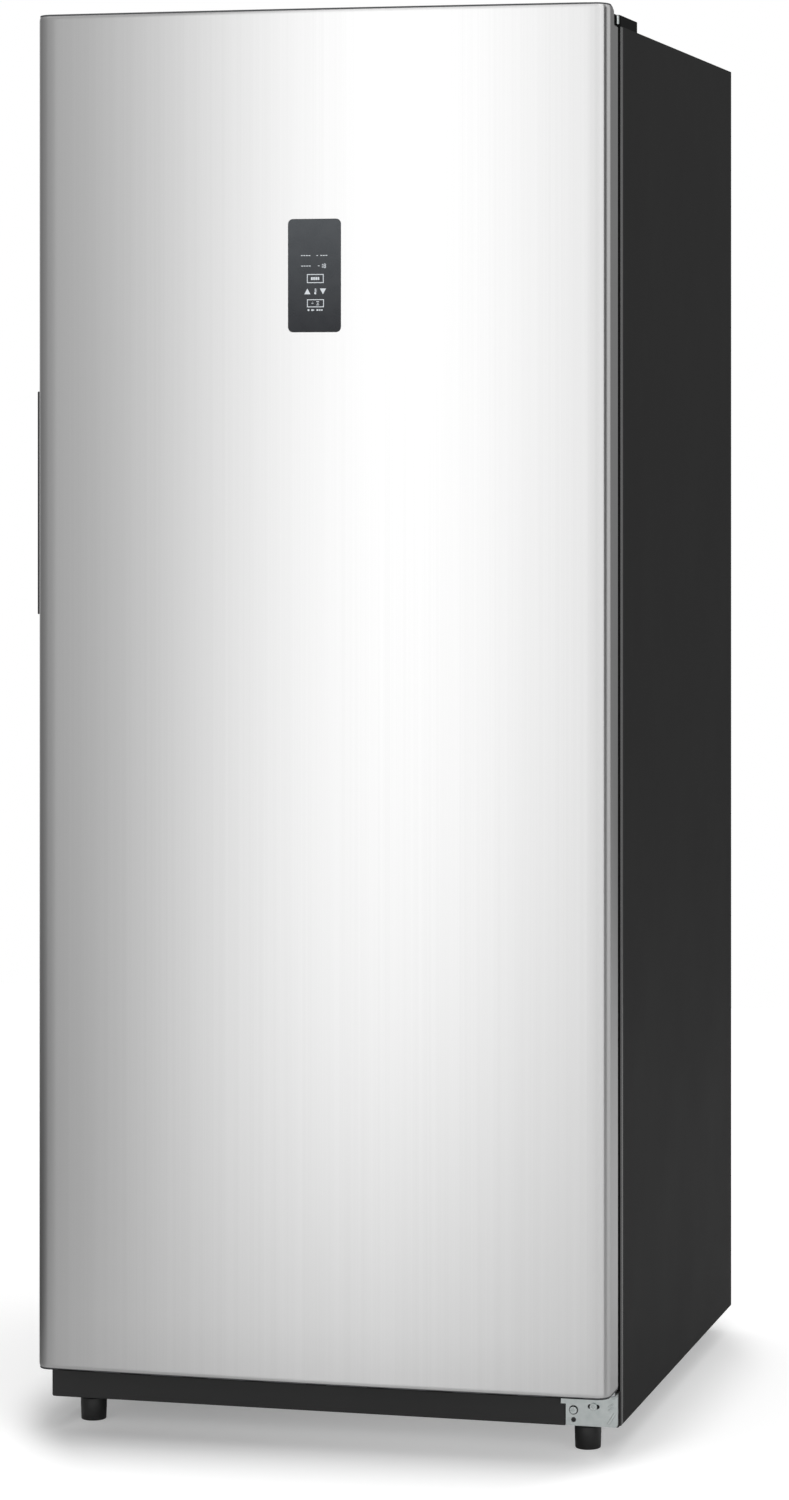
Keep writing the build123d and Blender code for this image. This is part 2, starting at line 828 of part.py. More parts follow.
def door_gasket():
    """A seal of base, neck and head, whose head meets the case's flange."""
    x = (x_left + gasket_inset, x_right - gasket_inset)
    z = (cavity_floor - gasket_width - 14, cavity_top + gasket_width + 14)
    half = (gasket_width - gasket_neck) / 2
    base = ring(x, z, (y_door, y_door + gasket_lip), gasket_width)
    neck_y = (y_door + gasket_lip, y_case - seat - gasket_lip)
    neck = ring(grown(x, -half), grown(z, -half), neck_y, gasket_neck)
    head = ring(x, z, (neck_y[1], y_case - seat), gasket_width)
    return base + neck + head


def grip_pocket_y():
    front = y_face + grip_setback + lip_width
    return (front, front + grip_width - lip_width - 2 * grip_wall)


def grip_pocket_z():
    return grown((grip_base, grip_base + grip_length), -4 * grip_wall)


def grip_insert():
    """A finger pocket in the door's side behind a proud lip."""
    y_all = (y_face + grip_setback, y_face + grip_setback + grip_width)
    z_all = (grip_base, grip_base + grip_length)
    y, z = grip_pocket_y(), grip_pocket_z()
    plate = block((x_left - grip_face, x_left), y_all, z_all)
    lip = block((x_left - grip_proud, x_left), (y_all[0], y_all[0] + lip_width), z_all)
    lip = fillet(lip.edges().filter_by(Axis.Z).group_by(Axis.X)[0], 1.6)
    lower = lip.edges().filter_by(Axis.Y).group_by(Axis.X)[0].group_by(Axis.Z)[0]
    lip = fillet(lower, 1.5)
    cup = grip_cut() & block((x_left, x_right), (y_face, y_case), (0, door_top))
    hollow = block((x_left - grip_proud, x_left + grip_pocket), y, z)
    return plate + lip + cup - hollow


def display_panel():
    """A dark glass-like overlay, flush with the door's front."""
    plate = RectangleRounded(display_width, display_height, display_corner)
    origin = (display_x, y_face + display_sink, display_middle)
    place = Plane(origin=origin, x_dir=(1, 0, 0), z_dir=(0, 1, 0))
    return extrude(place * plate, display_depth)


def display_board():
    """The controls' housing behind the overlay, in the door's foam."""
    wide = display_width + 2 * board_margin
    tall = display_height + 2 * board_margin
    origin = (display_x, y_face + display_sink + display_depth, display_middle)
    place = Plane(origin=origin, x_dir=(1, 0, 0), z_dir=(0, 1, 0))
    outline = RectangleRounded(wide, tall, display_corner + board_margin)
    housing = extrude(place * outline, board_depth)
    hollow = place * Pos(0, 0, 4) * Box(wide - 12, tall - 12, board_depth - 6, align=BOTTOM)
    port = place * Pos(0, 0, board_depth - 4) * Box(18, 10, 8, align=BOTTOM)
    return housing - hollow - port


def door_bin(i):
    """A clear bin between the ridges, open at the top."""
    x = bin_span()
    y = (y_door + pan_rise + 1, y_case + bin_reach)
    z = (bin_bases[i], bin_bases[i] + bin_heights[i])
    tub = block(x, y, z)
    tub = fillet(tub.edges().filter_by(Axis.Z).group_by(Axis.Y)[-1], bin_corner)
    space = block(grown(x, -bin_wall), grown(y, -bin_wall), (z[0] + bin_wall, z[1] + 1))
    inner = space.edges().filter_by(Axis.Z).group_by(Axis.Y)[-1]
    space = fillet(inner, bin_corner - bin_wall)
    # the wall on the door's side is low, as the door itself closes the bin
    low_back = block(
        grown(x, -2 * bin_corner), (y[0] - 1, y[0] + bin_wall + 1), (z[0] + 3 * bin_corner, z[1] + 1)
    )
    return tub - space - low_back


# ---- inside the cavity ----
def shelf(i):
    """One glass shelf and its front and rear trims."""
    x = (cavity_left + 1, cavity_right - 1)
    y = (y_case + shelf_front, fan_panel_y - fan_panel_wall - 2)
    z = shelf_level(i)
    glass_z = (z + trim_lip, z + trim_lip + shelf_glass)
    glass_y = (y[0] + trim_depth - trim_bite, y[1] - trim_depth + trim_bite)
    glass = block(x, glass_y, glass_z)
    front = block(x, (y[0], y[0] + trim_depth), (z, z + trim_height))
    front = fillet(front.edges().filter_by(Axis.X).group_by(Axis.Y)[0], 3)
    rear = block(x, (y[1] - trim_depth, y[1]), (z, z + trim_height))
    return glass, (front - glass, rear - glass)


def slots(x, z, y, count, width, height):
    """A row of upright slots through a panel across Y."""
    pitch = (x[1] - x[0] - width) / (count - 1)
    return [
        block((x[0] + i * pitch, x[0] + i * pitch + width), y, (z, z + height)) for i in range(count)
    ]


def fan_panel():
    """The plastic panel in front of the cold coil and its fan."""
    x = (cavity_left + 1, cavity_right - 1)
    y = (fan_panel_y - fan_panel_wall, fan_panel_y)
    panel = block(x, y, (hump_top + seat, cavity_top - seat))
    corners = panel.edges().filter_by(Axis.Y).group_by(Axis.Z)[-1]
    panel = fillet(corners, cavity_corner)
    inner = grown(x, -slot_margin)
    through = grown(y, 1)
    for level in (cavity_top - 60, shelf_level(2) + 60, shelf_level(1) + 80):
        panel -= slots(inner, level, through, 13, 10, 26)
    return panel - slots(inner, hump_top + 34, through, 21, 8, 30)


def finned_coil(x, y, z, passes, fins, foot_z):
    """A serpentine of tube through flat fins, with end plates down to foot_z."""
    middle = (y[0] + y[1]) / 2
    pitch = (z[1] - z[0]) / passes
    points = []
    for i in range(passes):
        ends = (x[0] - coil_return, x[1] + coil_return)
        level = z[0] + (i + 0.5) * pitch
        order = ends if i % 2 == 0 else ends[::-1]
        points += [(end, middle, level) for end in order]
    coil = tube(coil_tube, points, pitch / 2 - 0.5)
    step = (x[1] - x[0] - fin) / (fins - 1)
    for i in range(fins):
        low = foot_z if i in (0, fins - 1) else z[0]
        place = x[0] + i * step
        coil += block((place, place + fin), y, (low, z[1]))
    return coil


def evaporator():
    x = grown((cavity_left, cavity_right), -cold_coil_inset)
    y = (fan_panel_y + cold_coil_gap, cavity_back)
    low = hump_top + cold_coil_lift
    return finned_coil(x, y, (low, low + cold_coil_height), 6, 15, hump_top)


def defrost_heater():
    """A glass heater tube in two clips under the cold coil."""
    y, z = fan_panel_y + fan_panel_gap / 2, hump_top + heater_lift
    x = grown((cavity_left, cavity_right), -heater_inset)
    heater = bar(heater_radius, (x[0], y, z), (1, 0, 0), x[1] - x[0])
    for end in x:
        clip_x = grown((end, end), heater_clip / 2)
        heater += block(clip_x, grown((y, y), heater_clip), (hump_top, z + heater_clip))
    return heater


def fan(radius, depth, place, axis):
    """Twisted blades on a hub that turns on its motor's shaft."""
    hub = Cylinder(fan_hub, depth, align=BOTTOM)
    hub = fillet(hub.edges().group_by(Axis.Z)[-1], 3)
    wheel = hub
    length = radius - fan_hub + blade_root
    for i in range(fan_blades):
        blade = Box(length, 0.62 * radius, fan_blade)
        blade = Rot(blade_pitch, 0, 0) * blade
        blade = Pos(fan_hub - blade_root + length / 2, 0, depth / 2) * blade
        wheel += Rot(0, 0, i * 360 / fan_blades) * blade
    keep = Pos(0, 0, 1) * Cylinder(radius, depth - 2, align=BOTTOM)
    wheel = (wheel & keep) + hub
    wheel -= Pos(0, 0, -1) * Cylinder(fan_shaft + fan_clearance, depth + 2, align=BOTTOM)
    return Plane(origin=place, z_dir=axis) * wheel


cold_fan_place = (x_mid, fan_panel_y + cold_fan_gap, hump_top + cold_fan_lift)
cold_motor_face = cold_fan_place[1] + fan_depth + 1


def evaporator_fan():
    return fan(fan_radius_cold, fan_depth, cold_fan_place, (0, 1, 0))


def evaporator_fan_motor():
    """The motor on the cavity's back wall, with a bracket and its shaft."""
    x, y, z = cold_fan_place
    reach = cavity_back - cold_motor_face
    motor = bar(motor_radius, (x, cold_motor_face, z), (0, 1, 0), reach)
    plate_y = (cavity_back - cold_motor_wall, cavity_back)
    strip_z = grown((z, z), cold_motor_strip / 2)
    plate = block(grown((x, x), cold_motor_plate / 2), plate_y, strip_z)
    shaft = bar(fan_shaft, (x, y + 1, z), (0, 1, 0), cold_motor_face - y)
    return motor + plate + shaft


def ceiling_lamp():
    """A lamp strip's clear cover on the cavity's ceiling, behind the shelf fronts."""
    y = (y_case + lamp_setback, y_case + lamp_setback + lamp_width)
    lamp = block(grown((x_mid, x_mid), lamp_length / 2), y, (cavity_top - lamp_height, cavity_top))
    low = lamp.edges().group_by(Axis.Z)[0]
    return fillet(low, 5)


# ---- machine room ----
room_floor = case_lift + steel
room_y = (room_front + steel / 2, y_back - steel)
compressor_x = x_right - compressor_across
compressor_y = (room_y[0] + room_y[1]) / 2 - compressor_shift
foot_plate_z = room_floor + mount_height
shell_base = foot_plate_z + foot_plate_wall


def mount_places():
    across = foot_plate_width / 2 - mount_inset
    along = foot_plate_depth / 2 - mount_inset
    return [
        (compressor_x + sx * across, compressor_y + sy * along) for sx in (-1, 1) for sy in (-1, 1)
    ]


def compressor():
    """A domed steel shell on a foot plate with four bolt holes."""
    middle = (compressor_x, compressor_y)
    plate = block(
        grown((middle[0], middle[0]), foot_plate_width / 2),
        grown((middle[1], middle[1]), foot_plate_depth / 2),
        (foot_plate_z, shell_base),
    )
    plate = fillet(plate.edges().filter_by(Axis.Z), foot_plate_corner)
    shell = bar(compressor_radius, (*middle, shell_base), (0, 0, 1), compressor_height)
    shell = fillet(shell.edges().group_by(Axis.Z)[-1], compressor_dome)
    seam_z = foot_plate_z + 0.55 * compressor_height
    seam = bar(compressor_radius + compressor_seam, (*middle, seam_z), (0, 0, 1), seam_height)
    whole = plate + shell + seam
    for x, y in mount_places():
        whole -= bar(mount_grip, (x, y, foot_plate_z - 1), (0, 0, 1), foot_plate_wall + 3)
    return whole


def shell_depth(across):
    """How far the compressor's shell reaches in Y at that distance across."""
    return (compressor_radius**2 - across**2) ** 0.5 + seat


def compressor_mounts():
    """Rubber grommets, waisted through the foot plate's holes."""
    grommets = []
    for x, y in mount_places():
        under = bar(mount_radius, (x, y, room_floor), (0, 0, 1), mount_height)
        waist = bar(mount_grip, (x, y, foot_plate_z), (0, 0, 1), foot_plate_wall)
        over = bar(mount_radius - 3, (x, y, shell_base), (0, 0, 1), mount_cap)
        grommets.append(under + waist + over)
    return grommets


def compressor_relay():
    """The terminal box on the compressor's side, towards the left."""
    x = compressor_x - compressor_radius
    z = foot_plate_z + relay_lift
    y = grown((compressor_y, compressor_y), relay_width / 2)
    box = block((x - relay_reach, x + 20), y, (z, z + relay_width))
    shell = bar(compressor_radius, (compressor_x, compressor_y, z - 1), (0, 0, 1), relay_width + 2)
    return box - shell


coil_x = (x_left + coil_inset, x_left + coil_inset + coil_width)
coil_y = grown(room_y, -coil_margin)
coil_z = (room_floor + coil_lift, room_floor + coil_lift + coil_height)


def condenser():
    return finned_coil(coil_x, coil_y, coil_z, 6, 12, room_floor)


def drain_pan():
    """The tray between the coil's end plates that catches melt water."""
    x = grown(coil_x, -fin - tray_gap)
    y = grown(coil_y, tray_spread)
    z = (room_floor, room_floor + tray_height)
    tray = block(x, y, z)
    tray = fillet(tray.edges().filter_by(Axis.Z), tray_corner)
    space = block(grown(x, -tray_wall), grown(y, -tray_wall), (z[0] + tray_wall, z[1] + 1))
    return tray - fillet(space.edges().filter_by(Axis.Z), tray_corner - tray_wall)


fan_x = coil_x[1] + coil_return + fan_offset
fan_z = (coil_z[0] + coil_z[1]) / 2
fan_mid_y = (coil_y[0] + coil_y[1]) / 2


def condenser_fan():
    return fan(fan_radius_room, fan_depth, (fan_x, fan_mid_y, fan_z), (1, 0, 0))


def condenser_fan_motor():
    """A fan plate across the room with its motor on three arms."""
    hole = fan_radius_room + fan_tip_gap
    half = hole + fan_plate_rim
    back = 2 * fan_plate
    plate = Pos(0, 0, back) * Box(2 * half, 2 * half, fan_plate, align=BOTTOM)
    legs = fan_z - half - room_floor
    plate += Pos(half + legs / 2, 0, back) * Box(legs, 2 * half, fan_plate, align=BOTTOM)
    plate -= Cylinder(hole, 30)
    face = fan_depth + 2
    motor = Pos(0, 0, face) * Cylinder(motor_radius, motor_length, align=BOTTOM)
    shaft = Cylinder(fan_shaft, fan_depth + 3, align=BOTTOM)
    whole = plate + motor + shaft
    for turn in (60, 180, 300):
        reach = hole + 6 - motor_radius
        middle = motor_radius + reach / 2 - 1
        arm = Pos(middle, 0, face + 4) * Box(reach + 2, fan_arm, fan_plate, align=BOTTOM)
        leg = Pos(hole + 2, 0, back + 1) * Box(fan_arm - 1, fan_arm, face - 1, align=BOTTOM)
        whole += Rot(0, 0, turn) * (arm + leg)
    # local X points down and local Z along the shaft
    place = Plane(origin=(fan_x, fan_mid_y, fan_z), x_dir=(0, 0, -1), z_dir=(1, 0, 0))
    return place * whole


drier_x = fan_x + fan_depth + motor_length + drier_gap
drier_y = room_y[0] + 2 * tube_pitch
drier_z = (room_floor + drier_lift, room_floor + drier_lift + drier_length)


def filter_drier():
    """A copper drier with drawn-in ends, clipped to the room's front wall."""
    low, high = drier_z
    profile = Polyline(
        (0, low),
        (drier_neck, low),
        (drier_radius, low + drier_taper),
        (drier_radius, high - drier_taper),
        (drier_neck, high),
        (0, high),
        close=True,
    )
    drier = revolve(Plane.XZ * make_face(profile), Axis.Z)
    drier = Pos(drier_x, drier_y, 0) * drier
    clip_x = grown((drier_x, drier_x), drier_clip)
    middle = (low + high) / 2
    return drier + block(clip_x, (room_y[0], drier_y), grown((middle, middle), drier_clip + 1))


def refrigerant_tubes():
    """The discharge tube and the liquid tube in the machine room."""
    port_x = compressor_x - tube_spread
    port_y = compressor_y - shell_depth(tube_spread - tube_thin)
    port_z = shell_base + 0.4 * compressor_height
    low = room_floor + 2.5 * tube_pitch
    high = room_top - tube_margin
    pitch = (coil_z[1] - coil_z[0]) / 6
    end_x = coil_x[0] - coil_return
    coil_in, coil_out = coil_z[0] + 0.5 * pitch, coil_z[1] - 0.5 * pitch
    wall_x = x_left + tube_margin
    wall_y = room_y[0] + 1.25 * tube_pitch
    upper_y = wall_y + tube_pitch
    discharge = tube(tube_thin, [
        (port_x, port_y, port_z), (port_x, wall_y, port_z), (port_x, wall_y, low),
        (wall_x, wall_y, low), (wall_x, fan_mid_y, low), (wall_x, fan_mid_y, coil_in),
        (end_x, fan_mid_y, coil_in),
    ], tube_pitch)
    liquid = tube(tube_thin, [
        (end_x, fan_mid_y, coil_out), (wall_x, fan_mid_y, coil_out), (wall_x, upper_y, coil_out),
        (wall_x, upper_y, high), (drier_x, upper_y, high), (drier_x, drier_y, high),
        (drier_x, drier_y, drier_z[1]),
    ], 0.9 * (upper_y - drier_y) / 2)
    return discharge, liquid


def suction_tube():
    """From the compressor's rear into the insulation above."""
    x = compressor_x + tube_spread
    start_y = compressor_y + shell_depth(tube_spread - tube_thick)
    top = shell_base + 0.3 * compressor_height
    y = room_y[1] - tube_margin
    points = [(x, start_y, top), (x, y, top), (x, y, room_top - steel / 2)]
    return tube(tube_thick, points, 1.25 * tube_pitch)


def control_board():
    """The main board's box on the room's front wall."""
    right = x_right - board_box_inset
    z = room_top - board_box_height - lamp_height
    y = (room_y[0], room_y[0] + board_box_depth)
    box = block((right - board_box_width, right), y, (z, z + board_box_height))
    return fillet(box.edges().filter_by(Axis.Y), board_box_corner)


inlet_x = x_right - inlet_inset
inlet_z = case_lift + inlet_lift


def inlet_outline(grow, y):
    x = grown((inlet_x, inlet_x), inlet_width / 2 + grow)
    return block(x, y, grown((inlet_z, inlet_z), inlet_height / 2 + grow))


def machine_cover():
    """The louvred sheet that closes the machine room at the back."""
    x = (x_left + steel + 1, x_right - steel - 1)
    z = (room_floor, room_top - steel / 2)
    cover = block(x, (y_back - steel, y_back), z)
    through = (y_back - 2, y_back + 1)
    left = x[0] + louvre_inset
    right = x[1] - louvre_margin_right
    for level in range(5):
        row = z[0] + louvre_lift + level * louvre_pitch
        cover -= slots((left, left + louvre_span), row, through, 12, louvre_width, louvre_height)
    for level in range(3):
        row = z[0] + louvre_lift_right + level * louvre_pitch
        span = (right - louvre_span_right, right)
        cover -= slots(span, row, through, 8, louvre_width, louvre_height)
    return cover - inlet_outline(0, through)


def power_inlet():
    """A moulded inlet socket with three contact pins."""
    body = inlet_outline(-seat / 3, (y_back - inlet_depth, y_back))
    floor = y_back - socket_depth
    space = block(
        grown((inlet_x, inlet_x), socket_width / 2),
        (floor, y_back + 1),
        grown((inlet_z, inlet_z), socket_height / 2),
    )
    socket = body - space
    for step in (-1, 0, 1):
        x = inlet_x + step * contact_pitch
        z = inlet_z + (0.7 if step == 0 else -0.3) * contact_rise
        socket += block(grown((x, x), 1), (floor - 2, y_back - 6), grown((z, z), 2))
    rear = inlet_outline(3, (y_back - steel - 4, y_back - steel))
    return socket + (rear - inlet_outline(-seat / 3, (y_back - 9, y_back)))


# ---- drawer ----
def freezer_drawer():
    """A clear tub whose front leans in, with a full-width pull."""
    x = (cavity_left + drawer_side_gap, cavity_right - drawer_side_gap)
    y = (y_case + shelf_front, hump_front - drawer_wall - 2)
    low = cavity_floor + runner_height + seat
    z = (low, low + drawer_height)
    tub = block(x, y, z)
    tub = fillet(tub.edges().filter_by(Axis.Z), bin_corner)
    space = block(grown(x, -drawer_wall), grown(y, -drawer_wall), (z[0] + drawer_wall, z[1] + 1))
    tub -= fillet(space.edges().filter_by(Axis.Z), bin_corner - drawer_wall)
    pull_x = grown(x, -4 * drawer_draft)
    pull = block(pull_x, (y[0] - pull_depth, y[0] + 1), (z[1] - pull_height, z[1]))
    scoop_y = (y[0] - pull_depth + pull_wall, y[0])
    scoop = block(grown(pull_x, -pull_wall), scoop_y, (z[1] - pull_height - 1, z[1] - pull_wall))
    return tub + (pull - scoop)


# ---- write the nodes ----
save("side_panel_left", side_panel(x_left, 1))
save("side_panel_right", side_panel(x_right, -1))
save("top_panel", top_panel())
save("back_panel", back_panel())
save("base_pan", base_pan())
save("cabinet_foam", cabinet_foam())
save("cabinet_liner", cabinet_liner())
save("kick_plate", kick_plate())
save("lower_hinge_bracket", lower_hinge_bracket())
save("upper_hinge_plate", upper_hinge_plate())
save("hinge_cover", hinge_cover())
save("hinge_screws", *hinge_screws())
save("hinge_pins", *hinge_pins())

for i in range(shelf_count):
    glass, trims = shelf(i)
    save(f"shelf_glass_{i + 1}", glass)
    save(f"shelf_trims_{i + 1}", *trims)

save("fan_panel", fan_panel())
save("evaporator", evaporator())
save("defrost_heater", defrost_heater())
save("evaporator_fan_motor", evaporator_fan_motor())
save("evaporator_fan", evaporator_fan())
save("ceiling_lamp", ceiling_lamp())

save("compressor", compressor())
save("compressor_mounts", *compressor_mounts())
save("compressor_relay", compressor_relay())
save("condenser", condenser())
save("drain_pan", drain_pan())
save("condenser_fan_motor", condenser_fan_motor())
save("condenser_fan", condenser_fan())
save("filter_drier", filter_drier())
save("refrigerant_tubes", *refrigerant_tubes(), suction_tube())
save("control_board", control_board())
save("machine_cover", machine_cover())
save("power_inlet", power_inlet())

save("roller_brackets", *[roller_bracket(x) for x in roller_places()])
save("roller_axles", *[roller_axle(x) for x in roller_places()])
for side, x in zip(("left", "right"), roller_places()):
    save(f"roller_{side}", roller(x))
for side, x in zip(("left", "right"), foot_places()):
    save(f"foot_{side}", levelling_foot(x))

save("door_skin", door_skin())
save("door_top_cap", door_top_cap())
save("door_bottom_cap", door_bottom_cap())
save("door_foam", door_foam())
save("door_liner", door_liner())
save("door_gasket", door_gasket())
save("grip_insert", grip_insert())
save("display_panel", display_panel())
save("display_board", display_board())
save("hinge_bushes", *hinge_bushes())
for i in range(bin_count):
    save(f"door_bin_{i + 1}", door_bin(i))

save("freezer_drawer", freezer_drawer())
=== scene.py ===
import json
from math import atan2, cos, pi, radians, sin, sqrt

import bmesh
import bpy
from mathutils import Matrix, Vector


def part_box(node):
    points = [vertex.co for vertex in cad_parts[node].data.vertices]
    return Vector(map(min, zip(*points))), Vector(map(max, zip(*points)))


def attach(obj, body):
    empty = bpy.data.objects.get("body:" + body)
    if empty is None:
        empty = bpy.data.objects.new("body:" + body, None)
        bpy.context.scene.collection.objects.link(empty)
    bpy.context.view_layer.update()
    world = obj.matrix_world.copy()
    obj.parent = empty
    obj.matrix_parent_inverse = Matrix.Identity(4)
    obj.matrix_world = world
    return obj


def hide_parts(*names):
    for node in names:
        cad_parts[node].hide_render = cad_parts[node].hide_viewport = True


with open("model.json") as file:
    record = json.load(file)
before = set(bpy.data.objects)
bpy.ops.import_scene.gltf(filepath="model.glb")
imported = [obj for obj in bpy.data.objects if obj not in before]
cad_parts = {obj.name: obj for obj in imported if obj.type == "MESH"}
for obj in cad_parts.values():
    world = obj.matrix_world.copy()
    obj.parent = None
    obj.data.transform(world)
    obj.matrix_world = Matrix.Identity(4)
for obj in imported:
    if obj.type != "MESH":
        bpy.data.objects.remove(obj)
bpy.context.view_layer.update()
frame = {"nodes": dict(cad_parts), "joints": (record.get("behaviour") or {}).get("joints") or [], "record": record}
nodes = frame["nodes"]

# The freezer's looks. Metres, +Z up, and the door faces -Y, as in the frame.
MM = 0.001

# ---- places from the frame ----
door_lo, door_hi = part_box("door_skin")
side_lo, side_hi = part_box("side_panel_right")
panel_lo, panel_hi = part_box("display_panel")
bracket_lo, bracket_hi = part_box("lower_hinge_bracket")
x_left, x_right = door_lo.x, door_hi.x
x_mid = (x_left + x_right) / 2
y_face, y_door = door_lo.y, door_hi.y
y_case, y_back = side_lo.y, side_hi.y
case_low, case_top = side_lo.z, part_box("top_panel")[1].z
hinge = next(j for j in frame["joints"] if j["name"] == "door_hinge")
hinge_x, hinge_y = hinge["pos_m"][:2]

# ---- sizes ----
door_crown = 5 * MM         # bulge of the door's front
door_corner = 16 * MM       # plan radius of its upright edges
door_hem = (2.8 * MM, 5.2 * MM)       # the skin's roll at the door's back: inward and along
skin_sheet = 0.8 * MM
skin_roll = 5.5 * MM        # height over which the skin rolls back to its end trims
skin_roll_depth = 1.3 * MM
side_drop = 0.6 * MM        # the door's top edge is lower round its sides
skin_return = 9 * MM
trim_rise = 1.3 * MM        # height of the end trims' dark line
trim_edge = 0.9 * MM
trim_crown = 1.2 * MM       # the upper trim rises this much from its front edge
notch_depth = 24 * MM       # from the door's back
notch_drop = 1.5 * MM       # under the case's top
notch_side = 15 * MM        # it starts this far inside the hinge's axis
notch_round = (33 * MM, 7.5 * MM)     # the rounding before it: along and down the corner
notch_ease = 3 * MM         # chamfer in the notch's inner corner
notch_line = 1.5 * MM       # the cap's dark line round the notch
cap_inset = 1 * MM          # the moulded cap lies inside the door's outline
grip_lip = 5 * MM           # width of the grip's lip
grip_proud = 2.7 * MM       # the lip stands this far out of the door's side
grip_face = 1.2 * MM        # and the frame this far
grip_edge = 2 * MM
grip_wall = 1.4 * MM
grip_pocket = 28 * MM       # depth of the finger pocket
panel_gap = 0.2 * MM        # round the display's overlay
panel_corner = 6 * MM
case_sheet = 0.8 * MM
case_bend = 0.75 * MM       # the chamfer that stands for the front bend
case_roll = 12 * MM         # the bend's shading fades out over this much of the side, which also takes the painted highlight
case_flange = 42 * MM
kick_wall = 2.5 * MM
bracket_thick = 3 * MM
bracket_tab = 6 * MM        # length of the tab at its left
tab_z = (60 * MM, 66 * MM)  # its edges over the floor
bracket_screw = (9.45 * MM, 19 * MM)      # from the plate's left edge and the case's lower edge
bracket_far_screw = (33.75 * MM, 24 * MM)
bracket_slot = (14.5 * MM, 5.4 * MM)      # behind the far screw
spare_hole_z = 7.5 * MM     # over the case's lower edge
spare_hole = 3 * MM         # radii of the bracket's holes
screw_hole = 2.6 * MM
pin_hole = 4.05 * MM
shade_ring_radius = 5.5 * MM
shade_ring_thick = 0.35 * MM
bush_flange = 10.5 * MM     # hole round the lower bush
bush_radius = 7.05 * MM
post_radius = 2 * MM        # the top hinge's post
post_inset = 3.1 * MM       # of its axis from the door's side
post_shift = 1.5 * MM       # of its axis backwards from the gap's middle
post_rise = (2 * MM, 12.2 * MM)           # its ends over the case's top
collar_radius = 3 * MM
foot_pad = 27.5 * MM        # height of a foot's pad
foot_stem = 5 * MM
nick_z = (13 * MM, 17 * MM)           # over the floor
nick_depth = 1.1 * MM
cover_inset = 1.9 * MM      # the machine room's cover lies this far inside the back
cover_sheet = 0.8 * MM
cover_border = 0.9 * MM     # its raised border
cover_margin = 21 * MM      # the border's width
slot_size = (12 * MM, 22 * MM)
slot_rows = 34 * MM         # pitch of the rows of slots
# both fields of slots: from and to, inward from the cover's side; height of the lowest row in
# the cover; rows; slots in a row
slots_left = (40 * MM, 300 * MM, 110 * MM, 5, 12)
slots_right = (300 * MM, 130 * MM, 150 * MM, 3, 8)
screw_head = 4 * MM         # radius of the cover's screws
screw_cross = (4.6 * MM, 0.9 * MM)        # one slot of their cross
rail_thick = 1.6 * MM       # the trims on the door's bins and on the drawer's pull
bin_rail = (34 * MM, 13 * MM)             # shorter than the bin by, and its height
drawer_rail = (376 * MM, 11 * MM)
rail_drop = 8 * MM          # their middle under the rim
SQUARE_ON = 0.75            # a face looks along an axis when its normal has more than this there


# ---- nodes of a material ----
def linear(code):
    """An sRGB hex colour as linear red, green, blue and alpha."""
    parts = [int(code[i:i + 2], 16) / 255 for i in (1, 3, 5)]
    curve = [c / 12.92 if c <= 0.04045 else ((c + 0.055) / 1.055) ** 2.4 for c in parts]
    return (*curve, 1.0)


def add(tree, kind, inputs=None, **settings):
    """Adds one node; inputs maps its sockets to values or to other nodes' outputs."""
    made = tree.nodes.new(kind)
    for name, value in settings.items():
        setattr(made, name, value)
    for socket, value in (inputs or {}).items():
        if isinstance(value, bpy.types.NodeSocket):
            tree.links.new(value, made.inputs[socket])
        else:
            made.inputs[socket].default_value = value
    return made


def finish_of(name, colour, roughness, **sockets):
    """A new material with its Principled shader set, its tree and its shader.

    In a socket's name an underscore stands for a space.
    """
    made = bpy.data.materials.new(name)
    made.use_nodes = True
    tree = made.node_tree
    shader = tree.nodes["Principled BSDF"]
    shader.inputs["Base Color"].default_value = linear(colour)
    shader.inputs["Roughness"].default_value = roughness
    for socket, value in sockets.items():
        shader.inputs[socket.replace("_", " ")].default_value = value
    return made, tree, shader


def grain(tree, pitch, detail=2.0, stretch=(1, 1, 1)):
    """Noise whose features are pitch metres apart, drawn out along the axes by stretch."""
    place = add(tree, "ShaderNodeTexCoord").outputs["Object"]
    scale = tuple(1 / (pitch * s) for s in stretch)
    mapped = add(tree, "ShaderNodeMapping", {"Vector": place, "Scale": scale})
    made = add(tree, "ShaderNodeTexNoise", {
        "Vector": mapped.outputs["Vector"], "Scale": 1.0, "Detail": detail, "Roughness": 0.55,
    })
    return made.outputs["Fac"]


def ranged(tree, source, start, end, low=0.0, high=1.0, curve="LINEAR"):
    """Runs from low to high while source goes from start to end."""
    made = add(tree, "ShaderNodeMapRange", {
        "Value": source, "From Min": start, "From Max": end, "To Min": low, "To Max": high,
    }, interpolation_type=curve)
    return made.outputs["Result"]


def spread(tree, source, low, high):
    """Turns noise of 0.3 to 0.7 into values from low to high."""
    return ranged(tree, source, 0.3, 0.7, low, high)


def tinted(tree, source, dark, light):
    """A colour between two hex colours by source, 0 to 1."""
    made = add(tree, "ShaderNodeMix", {"Factor": source}, data_type="RGBA")
    made.inputs["A"].default_value = linear(dark)
    made.inputs["B"].default_value = linear(light)
    return made.outputs["Result"]


def bumped(tree, shader, height, depth, strength=1.0):
    """Bump of that depth in metres on a shader."""
    made = add(tree, "ShaderNodeBump", {"Height": height, "Distance": depth, "Strength": strength})
    tree.links.new(made.outputs["Normal"], shader.inputs["Normal"])


def coloured(tree, shader, source, dark, light):
    """Draws the base colour between two hex colours by noise."""
    tree.links.new(tinted(tree, spread(tree, source, 0, 1), dark, light), shader.inputs["Base Color"])


def roughened(tree, shader, source, low, high):
    """Draws the roughness between two values by noise."""
    tree.links.new(spread(tree, source, low, high), shader.inputs["Roughness"])


